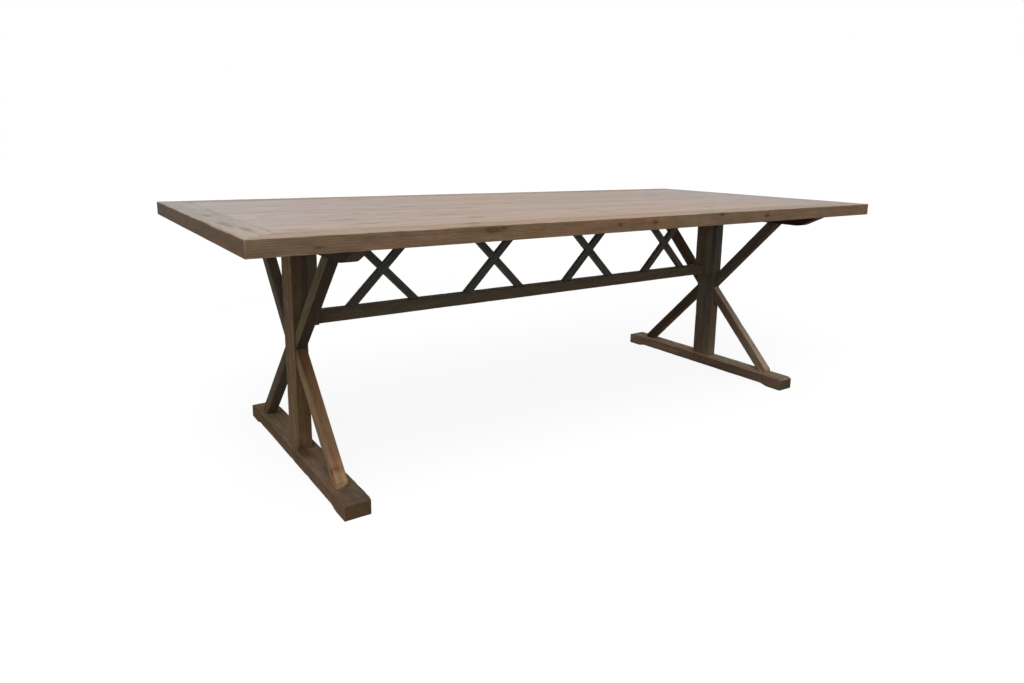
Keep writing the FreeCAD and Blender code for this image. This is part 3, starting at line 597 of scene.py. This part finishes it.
def board(name, material, halves, axes, centre, length, seed, node=None, radius=0.002,
          spread=0.45, nicks=3, leans=(0, 0), end_radius=0.0015, step=0.012, columns=None,
          lift=None, breaks=(), bumps=0.00025, flat_sides=False, tone=(1, 1, 1), pith=None,
          worn_ends=True, bare=None, cut=None, lap=None):
    """A worn board that replaces the CAD node of its name, or the one that is given.

    It runs along its own u, from -length / 2 to length / 2, with half sizes in v and w, and axes
    are the ways of u, v and w. leans gives how u changes with v at each end, for slanted cuts.
    breaks are extra stations (u, lean), lift moves a point's w, cut is a plane (point, normal)
    beyond which the wood is cut away, and lap (half length, side) takes away half of the
    thickness around the middle.
    """
    stations = stations_along(length, leans, end_radius, breaks, step)
    if columns is None:
        columns = tuple(max(2, int(h / COLUMN_GAP)) for h in halves)
    if not isinstance(radius, tuple):
        radius = (radius,) * 4
    margin = tuple(min(h * ARRIS_SHARE, ARRIS_STRIP) for h in halves)
    radii = rough_radii(stations[:, 0], radius, seed, spread, nicks)
    radii = np.clip(radii, SHARPEST, min(margin) * 0.95)
    rings, outs = station_rings(halves, radii, stations[:, 2], columns, margin)
    if flat_sides:
        outs[np.abs(outs[:, 1]) < SQUARE] = 0

    verts = []
    for (station, lean, _), ring in zip(stations, rings):
        for (v, w), (out_v, out_w) in zip(ring, outs):
            push = bumps * unevenness(station, v, w, seed)
            v, w = v + out_v * push, w + out_w * push
            u = station + lean * v
            if lift:
                w = lift(u, v, w)
            if lap and abs(station) <= lap[0] + HAIR:
                w = min(w, 0.0) if lap[1] > 0 else max(w, 0.0)
            verts.append((u, v, w))

    mesh = bpy.data.meshes.new(name)
    mesh.from_pydata(verts, [], tube_faces(*rings.shape[:2]))
    if cut:
        cut_away(mesh, *cut)
    if pith is None:
        draw = random.Random(seed + 71)
        pith = (draw.uniform(*PITH_ACROSS), draw.uniform(*PITH_BELOW))
    reach = length / 2 if worn_ends else ENDLESS
    give_attributes(mesh, (reach, *halves), seed, pith, tone, bare)
    turn = Matrix(axes).transposed().to_4x4()
    mesh.transform(Matrix.Translation(centre) @ turn)
    hand_over(mesh, name, node or name, material)


def cut_away(mesh, point, normal):
    """Cut away what lies beyond a plane and close the cut."""
    made = bmesh.new()
    made.from_mesh(mesh)
    geometry = made.verts[:] + made.edges[:] + made.faces[:]
    result = bmesh.ops.bisect_plane(made, geom=geometry, plane_co=point, plane_no=normal,
                                    clear_outer=True, dist=HAIR)
    rim = [g for g in result["geom_cut"] if isinstance(g, bmesh.types.BMEdge)]
    bmesh.ops.holes_fill(made, edges=rim)
    made.to_mesh(mesh)
    made.free()


def give_attributes(mesh, halves, seed, pith, tone, bare):
    """What the wood's material reads: the board's own coordinates and its nature."""
    count = len(mesh.vertices)
    where = np.zeros(count * 3, np.float32)
    mesh.vertices.foreach_get("co", where)
    where = where.reshape(-1, 3)
    vectors = {
        "grain": where,
        "halves": np.tile(halves, (count, 1)),
        "board": np.tile((seed * 1.37, *pith), (count, 1)),
    }
    for key, values in vectors.items():
        data = mesh.attributes.new(key, "FLOAT_VECTOR", "POINT").data
        data.foreach_set("vector", np.asarray(values, np.float32).ravel())
    # the tone, with the light and shade that are painted into it
    colours = np.ones((count, 4), np.float32)
    colours[:, :3] = [tone(*p) for p in where] if callable(tone) else tone
    mesh.attributes.new("tone", "FLOAT_COLOR", "POINT").data.foreach_set("color", colours.ravel())
    amounts = np.zeros(count, np.float32)
    if bare:
        amounts = np.array([bare(*p) for p in where], np.float32)
    mesh.attributes.new("bare", "FLOAT", "POINT").data.foreach_set("value", amounts)


def hand_over(mesh, name, node, material):
    """Make the object, shade it and let it stand for its CAD node."""
    mesh.materials.append(material)
    for polygon in mesh.polygons:
        polygon.use_smooth = True
    piece = bpy.data.objects.new(name, mesh)
    bpy.context.scene.collection.objects.link(piece)
    weighted = piece.modifiers.new("even_shading", "WEIGHTED_NORMAL")
    weighted.weight = 90
    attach(piece, "root")
    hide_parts(node)


# ------------------------------------------------------------------ colours along a board

# a point this near to a face counts as on it
SKIN = 0.0008
# a painted sheen: how it pales and greys a colour, raised to the sheen's share
SHEEN_GREYING = (1.065, 1.36, 1.93)


def ramp(value, low, high):
    """Smoothly from 0 at low to 1 at high."""
    share = min(max((value - low) / (high - low), 0.0), 1.0)
    return share * share * (3 - 2 * share)


def between(low, high, share):
    return tuple(a + (b - a) * share for a, b in zip(low, high))


def shaded(colour, shade):
    return tuple(c * shade for c in colour)


# a colour paled and greyed by a painted sheen of the given share
def sheen_greyed(colour, share):
    return tuple(c * b ** share for c, b in zip(colour, SHEEN_GREYING))


def steady(value):
    """The same value all along a board, as places and values."""
    return (0,), (value,)


# ------------------------------------------------------------------ the top

BORDER_HALF = BORDER / 2
TOP_MIDDLE = TOP - TOP_THICK / 2
CORNER_WEAR = 0.003
# the strip at the outer arris that has the edge's colour
OUTER_ARRIS = 0.0025
# where the border's corners are rubbed: along the board, across it, and from which height up
RUBBED_LONG, RUBBED_WIDE = 0.0015, 0.001
RUBBED_FROM, RUBBED_TO, RUBBED_SHARE = -0.030, 0.016, 0.7
# the outer arrises are at v < 0: corners (v, w) run (+,-), (+,+), (-,+), (-,-)
BORDER_RADII = (0.0006, 0.0009, 0.0022, 0.0016)
# the painted sheen on the front board's upper face, along it
FRONT_SHEEN = ((-1.1, 0.2, 0.7, 1.1), (0.35, 0.30, 0.75, 1.35))

# of each border board: the ways of its length and of its width inwards, half the top's size
# along it and across it, and its wood
border_places = {
    "front": (X, Y, *TOP_HALF, border_wood),
    "back": (-X, -Y, *TOP_HALF, border_wood),
    "left": (-Y, X, *reversed(TOP_HALF), end_border_wood),
    "right": (Y, -X, *reversed(TOP_HALF), border_wood),
}
# its colour, how far a painted sheen greys its upper face, and its outer edge's colour at both
# ends, with painted light and shade
border_look = {
    "front": ((1.02, 1.0, 0.97), FRONT_SHEEN, ((0.94, 0.94, 0.92), (1.34, 1.32, 1.40))),
    "back": ((1.0, 1.0, 0.98), steady(0.60), ((1.0, 1.0, 0.98),) * 2),
    "left": ((1.07, 1.14, 1.16), steady(0.90), ((0.70, 0.69, 0.73),) * 2),
    "right": ((1.12, 1.20, 1.26), steady(0.90), ((0.98, 0.98, 0.97),) * 2),
}


def border_board(name, seed):
    along, inwards, reach, depth, material = border_places[name]
    plain, painted_sheen, edge_ends = border_look[name]
    straight = reach - BORDER_HALF

    # the upper face has a painted sheen; the other faces have the edge's painted light and shade
    def colour(u, v, w):
        if w > TOP_THICK / 2 - SKIN and v > OUTER_ARRIS - BORDER_HALF:
            return sheen_greyed(plain, np.interp(u, *painted_sheen))
        return between(*edge_ends, u / (2 * reach) + 0.5)

    def rubbed_corner(u, v, w):
        at_corner = v < RUBBED_WIDE - BORDER_HALF and abs(u) > reach - RUBBED_LONG
        return RUBBED_SHARE * ramp(w, RUBBED_FROM, RUBBED_TO) if at_corner else 0.0

    board(f"border_{name}", material, (BORDER_HALF, TOP_THICK / 2),
          (along, inwards, Z), Z * TOP_MIDDLE - inwards * (depth - BORDER_HALF), 2 * straight,
          seed, node=f"top_border_{name}", radius=BORDER_RADII, spread=0.3, nicks=2,
          leans=(1, -1), end_radius=0.0005, step=0.010, columns=(9, 4), worn_ends=False,
          tone=colour, pith=(0.01, -0.07), bare=rubbed_corner,
          breaks=[(CORNER_WEAR - straight, 1), (straight - CORNER_WEAR, -1)])


for seed, name in enumerate(border_places, start=11):
    border_board(name, seed)

PLANK_WIDTH = 2 * (TOP_HALF[1] - BORDER) / PLANKS
# the painted sheen on the planks, along them
PLANK_SHEEN = ((-1.1, -0.8, -0.45, 0.0, 0.6, 1.0), (0.9, 0.6, 0.4, 0.3, 0.4, 0.8))
# the share of it that the front plank has, and what each plank behind has more
FRONT_SHARE, ROW_SHARE = 0.7, 0.08
plank_tone = [(1.02, 1.0, 0.97), (0.99, 0.98, 0.99), (1.03, 1.0, 0.99), (0.97, 0.98, 1.0),
              (1.02, 1.02, 1.02), (0.98, 0.97, 0.97), (1.01, 1.0, 1.0)]


def plank(row):
    """One plank, counted from the front. A painted sheen greys them most at both ends and at the
    back.
    """
    def colour(u, v, w):
        share = np.interp(u, *PLANK_SHEEN) * (FRONT_SHARE + ROW_SHARE * row)
        return sheen_greyed(plank_tone[row], share)

    board(f"plank_{row + 1}", plank_wood, (PLANK_WIDTH / 2, TOP_THICK / 2), (X, Y, Z),
          (0, (row - (PLANKS - 1) / 2) * PLANK_WIDTH, TOP_MIDDLE), 2 * (TOP_HALF[0] - BORDER),
          31 + row * 3, node=f"top_plank_{row + 1}", radius=0.0006, spread=0.4, nicks=0,
          end_radius=0.0008, step=0.016, columns=(11, 2), bumps=0.00030, flat_sides=True,
          tone=colour, pith=(0.02 * (-1) ** row, -0.06 - 0.01 * row))


for row in range(PLANKS):
    plank(row)


# ------------------------------------------------------------------ feet, posts and bearers

FOOT_SOFTENING = 0.004
FOOT_END_WEAR, FOOT_END_WORN = 0.0058, 0.017
# the dark line across the foot near its ends: how far from the end, and how wide
FOOT_LINE, LINE_HALF, LINE_SHADE = 0.0165, 0.0025, 0.5
BEARER_BEND = 0.018
# painted shade on the bearers, which lie under the top
BEARER_PAINTED_SHADE = (0.28, 0.22, 0.18)
POST_TALL = BEARER_LOW - FOOT_TALL
BEARER_TALL = UNDER - BEARER_LOW

# the feet's colours, with painted light and shade: upper face, sides, ends
foot_look = {
    "left": ((0.63, 0.69, 0.78), (1.18, 1.20, 1.20), (1.27, 1.28, 1.14)),
    "right": ((1.50, 1.86, 2.55), (1.50, 1.74, 2.25), (1.30, 1.50, 1.85)),
}
# painted light: how much lighter the upper face and the sides are, from the front end to the back
# end
FOOT_PLACES = (-0.435, -0.38, -0.29, -0.16, 0.0, 0.15, 0.28, 0.435)
foot_shades = {
    "left": ((FOOT_PLACES, (1.05, 1.25, 1.8, 2.4, 2.8, 3.3, 2.6, 2.4)), steady(1)),
    "right": ((FOOT_PLACES, (1.1, 1.1, 1.40, 1.90, 2.7, 3.5, 3.5, 2.2)),
              (FOOT_PLACES, (0.68, 0.66, 0.65, 0.67, 1.1, 1.9, 2.0, 2.1))),
}
# the posts' colour at the foot and at the bearer, with painted light and shade: of their front
# and the other faces, and then of their side towards -X
post_look = {
    "left": (((1.14, 1.11, 1.03), (0.86, 1.04, 1.18)), ((1.90, 1.95, 1.85), (2.60, 3.00, 3.30))),
    "right": (((2.00, 2.40, 2.90), (1.08, 1.85, 3.00)), ((1.70, 2.08, 2.60), (0.85, 1.62, 2.80))),
}


def foot_end_wear(u):
    """How far the foot's upper face is worn down near its ends."""
    return FOOT_END_WEAR * max(0.0, 1 - (FOOT_LENGTH / 2 - abs(u)) / FOOT_END_WORN) ** 1.5


def relieved(u, v, w):
    """The foot's underside, raised between its two pads, and its upper face, worn at the ends."""
    half = FOOT_TALL / 2
    end = FOOT_LENGTH / 2 - FOOT_PAD
    rise = FOOT_RELIEF * ramp(end + FOOT_SOFTENING - abs(u), 0, FOOT_RUN + 2 * FOOT_SOFTENING)
    return w + (rise * (half - w) - foot_end_wear(u) * (half + w)) / (2 * half)


def tapered(u, v, w):
    """The bearer's underside, swept up towards both ends."""
    slope = (BEARER_TALL - BEARER_LIP) / (BEARER_LENGTH / 2 - BEARER_FLAT / 2)
    past = abs(u) - BEARER_FLAT / 2
    if past < -BEARER_BEND:
        rise = 0.0
    elif past < BEARER_BEND:
        rise = slope * (past + BEARER_BEND) ** 2 / (4 * BEARER_BEND)
    else:
        rise = slope * past
    rise = min(rise, BEARER_TALL - BEARER_LIP)
    return w + rise * (BEARER_TALL / 2 - w) / BEARER_TALL


def foot(side, sign_x, seed):
    upper, sides, end = foot_look[side]
    upper_shades, side_shades = foot_shades[side]
    line = FOOT_LENGTH / 2 - FOOT_LINE
    line_marks = [(way * line + step, 0)
                  for way in (-1, 1) for step in (-LINE_HALF, 0, LINE_HALF)]

    def colour(u, v, w):
        from_end = FOOT_LENGTH / 2 - abs(u)
        if from_end < SKIN:
            return end
        # the sides, with the painted light along them
        if w < FOOT_TALL / 2 - SKIN - foot_end_wear(u):
            return shaded(sides, np.interp(u, *side_shades))
        # the upper face, with the painted light along it
        shade = np.interp(u, *upper_shades)
        on_line = abs(from_end - FOOT_LINE) < LINE_HALF / 2
        return shaded(upper, shade * LINE_SHADE if on_line else shade)

    board(f"{side}_foot", trestle_wood, (FOOT_WIDE / 2, FOOT_TALL / 2),
          (Y, -X, Z), (sign_x * FOOT_X, 0, FOOT_TALL / 2), FOOT_LENGTH, seed, radius=0.0028,
          nicks=9, end_radius=0.0024, step=0.007, lift=relieved, bumps=0.0005, tone=colour,
          breaks=line_marks)


def post(side, sign_x, seed):
    front, flank = post_look[side]

    # painted light and shade, from the foot up to the bearer
    def colour(u, v, w):
        ends = flank if v < SKIN - POST_THICK / 2 else front
        return between(*ends, u / POST_TALL + 0.5)

    board(f"{side}_post", trestle_wood, (POST_THICK / 2, POST_WIDE / 2),
          (Z, X, Y), (sign_x * TRESTLE, 0, FOOT_TALL + POST_TALL / 2), POST_TALL, seed,
          radius=0.0024, nicks=7, end_radius=0.0008, step=0.010, worn_ends=False, bumps=0.0004,
          tone=colour)


def bearer(side, sign_x, seed):
    board(f"{side}_bearer", trestle_wood, (BEARER_WIDE / 2, BEARER_TALL / 2),
          (Y, -X, Z), (sign_x * TRESTLE, 0, (UNDER + BEARER_LOW) / 2), BEARER_LENGTH, seed,
          radius=0.0020, nicks=4, end_radius=0.0012, step=0.008, lift=tapered, tone=BEARER_PAINTED_SHADE)


# ------------------------------------------------------------------ braces

# the stretch over which the stain is rubbed through towards the toe, and how far it is
TOE_FROM, TOE_TO, TOE_SHARE = 0.120, 0.205, 0.75


def toe_bare(u, v, w):
    """Stain rubbed through at the lower end of the brace."""
    return TOE_SHARE * ramp(u, TOE_FROM, TOE_TO)


# how light the brace rubbed at its toe is painted along its length, from the post
BRACE_PAINTED_LIGHT = ((-0.22, -0.18, -0.11, -0.02, 0.06, 0.12, 0.17, 0.20),
                 (0.54, 0.72, 1.0, 0.9, 0.70, 0.70, 0.98, 1.06))
# of each brace: its seed, and its colour and that of its flank towards -X, with painted light and
# shade; then, of those that change along their length, their painted shades, their painted colour
# at the post and where they are bare
brace_look = {
    ("left", "upper", "front"): dict(seed=171, tone=(0.38, 0.49, 0.57), flank=(1.45, 2.10, 2.35)),
    ("left", "upper", "back"): dict(seed=72, tone=(1.00, 1.30, 1.60), flank=(1.00, 1.30, 1.60)),
    ("left", "lower", "front"): dict(seed=73, tone=(2.10, 2.12, 2.16), flank=(3.30, 3.50, 3.90),
                                     shades=BRACE_PAINTED_LIGHT, bare=toe_bare),
    ("left", "lower", "back"): dict(seed=74, tone=(0.76, 1.04, 1.20), flank=(0.75, 0.86, 1.01)),
    ("right", "upper", "front"): dict(seed=95, tone=(0.55, 0.72, 1.00), flank=(1.00, 1.45, 2.40)),
    ("right", "upper", "back"): dict(seed=96, tone=(0.84, 0.92, 1.05), flank=(0.84, 0.92, 1.05)),
    ("right", "lower", "front"): dict(seed=197, tone=(2.80, 3.50, 4.90), flank=(1.62, 1.90, 2.70),
                                      post_tone=(4.80, 7.00, 11.50)),
    ("right", "lower", "back"): dict(seed=98, tone=(0.75, 0.88, 1.05), flank=(0.75, 0.88, 1.05)),
}


def brace(side, level, place, sign_x, seed, tone, flank, shades=steady(1), post_tone=None,
          bare=None):
    """A diagonal brace: upright cut at the post, level cut at foot or bearer, blunt tip.

    Its line is worked out in the plane of the trestle, for the side at +Y: y runs across the
    table and z up, d is the way along the brace and n the way square to it.
    """
    up = 1 if level == "upper" else -1
    far = BEARER_LOW if up > 0 else FOOT_TALL
    reach = BRACE_REACH[level]
    face = POST_WIDE / 2
    run, rise = reach - face, abs(far - BRACE_MEET)
    slant = math.hypot(run, rise)
    dy, dz = run / slant, up * rise / slant
    ny, nz = -rise / slant, up * run / slant
    half = BRACE_DEEP / 2
    start_y, start_z = face + ny * half, BRACE_MEET + nz * half
    # where the two end planes meet the middle line
    u_post = (face - start_y) / dy
    u_far = (far - start_z) / dz
    mid = (u_post + u_far) / 2
    cy, cz = start_y + dy * mid, start_z + dz * mid
    # the upright plane that blunts the tip, in the brace's own coordinates
    toe_y, toe_z = reach - BRACE_TOES[level] * run / rise - cy, far - cz
    toe = Vector((toe_y * dy + toe_z * dz, toe_y * ny + toe_z * nz, 0))
    turn = 1 if place == "back" else -1
    along, across = Vector((0, turn * dy, dz)), Vector((0, turn * ny, nz))
    third = along.cross(across)
    post_end = (u_post - u_far) / 2

    # painted light and shade: the flank and the other faces are lit apart, and shaded along the
    # brace
    def colour(u, v, w):
        if w * -third.x > BRACE_THICK / 2 - SKIN:
            plain = flank
        else:
            plain = between(post_tone or tone, tone, ramp(u, post_end, -post_end))
        return shaded(plain, np.interp(u, *shades))

    board(f"{side}_{level}_{place}_brace", brace_wood, (half, BRACE_THICK / 2),
          (along, across, third), (sign_x * TRESTLE, turn * cy, cz), u_far - u_post, seed,
          radius=0.0022, leans=(-ny / dy, -nz / dz), end_radius=0.0012, step=0.008,
          worn_ends=False, tone=colour, bare=bare, cut=(toe, Vector((dy, ny, 0))))


# ------------------------------------------------------------------ the two trestles

def frame_upright(side, sign_x, seed):
    """The end of the stretcher frame, against the post."""
    board(f"{side}_frame_upright", frame_wood,
          (UPRIGHT_THICK / 2, UPRIGHT_WIDE / 2), (Z, X, Y),
          (sign_x * UPRIGHT_X, 0, (BEAM_LOW + UNDER) / 2), UNDER - BEAM_LOW, seed,
          radius=0.0022, end_radius=0.0012, step=0.010, worn_ends=False)


for side, sign_x, seed in (("left", -1, 60), ("right", 1, 84)):
    foot(side, sign_x, seed + 1)
    post(side, sign_x, seed + 2)
    bearer(side, sign_x, seed + 3)
    for level in ("upper", "lower"):
        for place in ("front", "back"):
            brace(side, level, place, sign_x, **brace_look[side, level, place])
    frame_upright(side, sign_x, seed + 9)


# ------------------------------------------------------------------ stretcher frame

BEAM_TOP = BEAM_LOW + BEAM_TALL
RAIL_LOW = UNDER - RAIL_TALL
LATTICE_TONE = (0.73, 0.91, 1.20)
LATTICE_SEED = 170
LAP_STEP = 0.0001

for name, low, tall, seed in (("stretcher_beam", BEAM_LOW, BEAM_TALL, 154),
                              ("stretcher_rail", RAIL_LOW, RAIL_TALL, 156)):
    board(name, frame_wood, (FRAME_WIDE / 2, tall / 2), (X, Y, Z),
          (0, 0, low + tall / 2), FRAME_LENGTH, seed, radius=0.0022, nicks=4,
          end_radius=0.0008, step=0.012, worn_ends=False)


def lattice_bar(number, middle, rising):
    """A bar of a crossed pair, halved where its partner passes."""
    run, rise = LATTICE_SPREAD, RAIL_LOW - BEAM_TOP
    slant = math.hypot(run, rise)
    way = 1 if rising else -1
    ux, uz = way * run / slant, rise / slant
    along, across = Vector((ux, 0, uz)), Vector((-uz, 0, ux))
    third = along.cross(across)
    lap = LATTICE_DEEP / 2 * slant * slant / (2 * run * rise)
    lap_lean = way * (rise * rise - run * run) / (2 * run * rise)
    # the rising bar keeps its front half at the crossing, the falling bar its back half
    front = 1 if third.y < 0 else -1
    board(f"lattice_{number}_{'rising' if rising else 'falling'}_bar", frame_wood,
          (LATTICE_DEEP / 2, LATTICE_THICK / 2), (along, across, third),
          (middle, 0, (BEAM_TOP + RAIL_LOW) / 2), slant, LATTICE_SEED + number * 4 + rising,
          radius=0.0018, leans=(-ux / uz, -ux / uz), end_radius=0.0006, step=0.008,
          breaks=[(u, lap_lean) for u in (-lap - LAP_STEP, -lap, lap, lap + LAP_STEP)],
          worn_ends=False, tone=LATTICE_TONE, lap=(lap, -front if rising else front))


for number, middle in enumerate(LATTICE_MIDDLES, start=1):
    for rising in (True, False):
        lattice_bar(number, middle, rising)


# ------------------------------------------------------------------ pegs, plugs and hardware

PIN_SIDES = 28
PIN_PROUD = 0.0009
# the domed end: how far out, and the radius there, as shares
PIN_DOME = ((0.0, 1.0), (0.35, 0.93), (0.7, 0.72), (0.9, 0.4))


def pins(name, radius, spans):
    """Round pins along X with domed ends that stand a little proud of the wood."""
    verts, faces, rims = [], [], []
    for x0, x1, y, z in spans:
        rings = [(x0 - PIN_PROUD * t, radius * s, t) for t, s in reversed(PIN_DOME)]
        rings += [(x1 + PIN_PROUD * t, radius * s, t) for t, s in PIN_DOME]
        faces += tube_faces(len(rings), PIN_SIDES, len(verts))
        for x, r, t in rings:
            for j in range(PIN_SIDES):
                angle = 2 * math.pi * j / PIN_SIDES
                verts.append((x, y + r * math.cos(angle), z + r * math.sin(angle)))
                rims.append(1.0 if t < 0.5 else 0.0)
    mesh = bpy.data.meshes.new(name)
    mesh.from_pydata(verts, [], faces)
    mesh.attributes.new("bare", "FLOAT", "POINT").data.foreach_set("value", rims)
    hand_over(mesh, name, name, dowel_wood)


def peg_spans(x, wide, height):
    """Two pegs through a board of that width, on each trestle."""
    return [(sign_x * x - wide / 2, sign_x * x + wide / 2, y, height)
            for sign_x in (-1, 1) for y in (-PEG_SPREAD, PEG_SPREAD)]


def plug_spans():
    """The plugs over the bolts' heads, in the outer face of each post."""
    outer = TRESTLE + POST_THICK / 2
    ends = [(-outer, PLUG_DEEP - outer), (outer - PLUG_DEEP, outer)]
    return [(low, high, 0.0, z) for low, high in ends for z in BOLT_HEIGHTS]


pins("bolt_plugs", PLUG_RADIUS, plug_spans())
pins("foot_pegs", PEG_RADIUS, peg_spans(FOOT_X, FOOT_WIDE, FOOT_PEG_Z))
pins("bearer_pegs", PEG_RADIUS, peg_spans(TRESTLE, BEARER_WIDE, BEARER_PEG_Z))

hardware = (
    (dowel_wood, ("mitre_splines", "brace_dowels", "lattice_dowels")),
    (bolt_steel, ("frame_bolts", "frame_washers", "frame_inserts")),
    (screw_steel, ("bearer_screws", "rail_screws", "lower_brace_screws", "upper_brace_screws")),
)
for material, nodes in hardware:
    for node in nodes:
        for material_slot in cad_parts[node].material_slots:
            material_slot.material = material


# ------------------------------------------------------------------ floor and light

FLOOR_HALF = 40
FLOOR_DROP = 0.0005
# the floor's glow rises to white from near the table to far from it
GLOW_NEAR, GLOW_FAR, GLOW_LEAST = 1.8, 4.5, 0.92


def floor_paper():
    """White where it is looked at, apart from the table's shadow, and dark to other light."""
    t = new_material("floor_paper")
    here = t.here()
    away = t.span(t.vector("LENGTH", here), GLOW_NEAR, GLOW_FAR)
    speck = t.noise(here, (40, 40, 40), 2.0)
    glow = t.node("ShaderNodeEmission", {
        "Color": (1, 1, 1, 1), "Strength": t.span(away, 0.0, 1.0, GLOW_LEAST, 1.0)})
    pale = t.node("ShaderNodeBsdfDiffuse", {
        "Color": t.mix(t.span(speck, 0.3, 0.7), (0.14, 0.14, 0.14, 1), (0.145, 0.145, 0.145, 1))})
    bounce = t.node("ShaderNodeBsdfDiffuse", {"Color": (0.025, 0.024, 0.023, 1)})
    both = t.node("ShaderNodeAddShader", {0: glow, 1: pale})
    chosen = t.node("ShaderNodeMixShader", {0: t.looked_at(), 1: bounce, 2: both})
    t.node("ShaderNodeOutputMaterial", {0: chosen})
    return t.owner


def add_floor():
    corners = [(v * FLOOR_HALF, w * FLOOR_HALF, 0) for v, w in CORNERS]
    mesh = bpy.data.meshes.new("floor")
    mesh.from_pydata(corners, [], [(3, 0, 1, 2)])
    mesh.materials.append(floor_paper())
    floor = bpy.data.objects.new("floor", mesh)
    floor.location.z = -FLOOR_DROP
    bpy.context.scene.collection.objects.link(floor)


def add_world(strength):
    """White where it is looked at, and a soft even light elsewhere."""
    t = Tree(bpy.data.worlds.new("studio"))
    level = t.span(t.looked_at(), 0.0, 1.0, strength, 1.0)
    light = t.node("ShaderNodeBackground", {"Color": (1, 1, 1, 1), "Strength": level})
    t.node("ShaderNodeOutputWorld", {0: light})
    bpy.context.scene.world = t.owner


def add_lamp(name, place, aim, size, energy):
    data = bpy.data.lights.new(name, "AREA")
    data.shape = "RECTANGLE"
    data.size, data.size_y = size
    data.energy = energy
    lamp = bpy.data.objects.new(name, data)
    lamp.location = place
    lamp.rotation_euler = (Vector(aim) - Vector(place)).to_track_quat("-Z", "Y").to_euler()
    lamp.visible_camera = False
    bpy.context.scene.collection.objects.link(lamp)


add_floor()
add_world(0.16)
add_lamp("overhead", (0.2, -0.2, 3.6), aim=(0.2, -0.2, 0.4), size=(4.5, 3.0), energy=54)
add_lamp("key", (-2.3, -2.5, 4.6), aim=(0, 0, 0.4), size=(2.6, 2.6), energy=150)
add_lamp("low_fill", (-3.0, -4.2, 1.1), aim=(0, 0, 0.5), size=(3.0, 1.2), energy=24)
bpy.context.scene.view_settings.view_transform = "Standard"
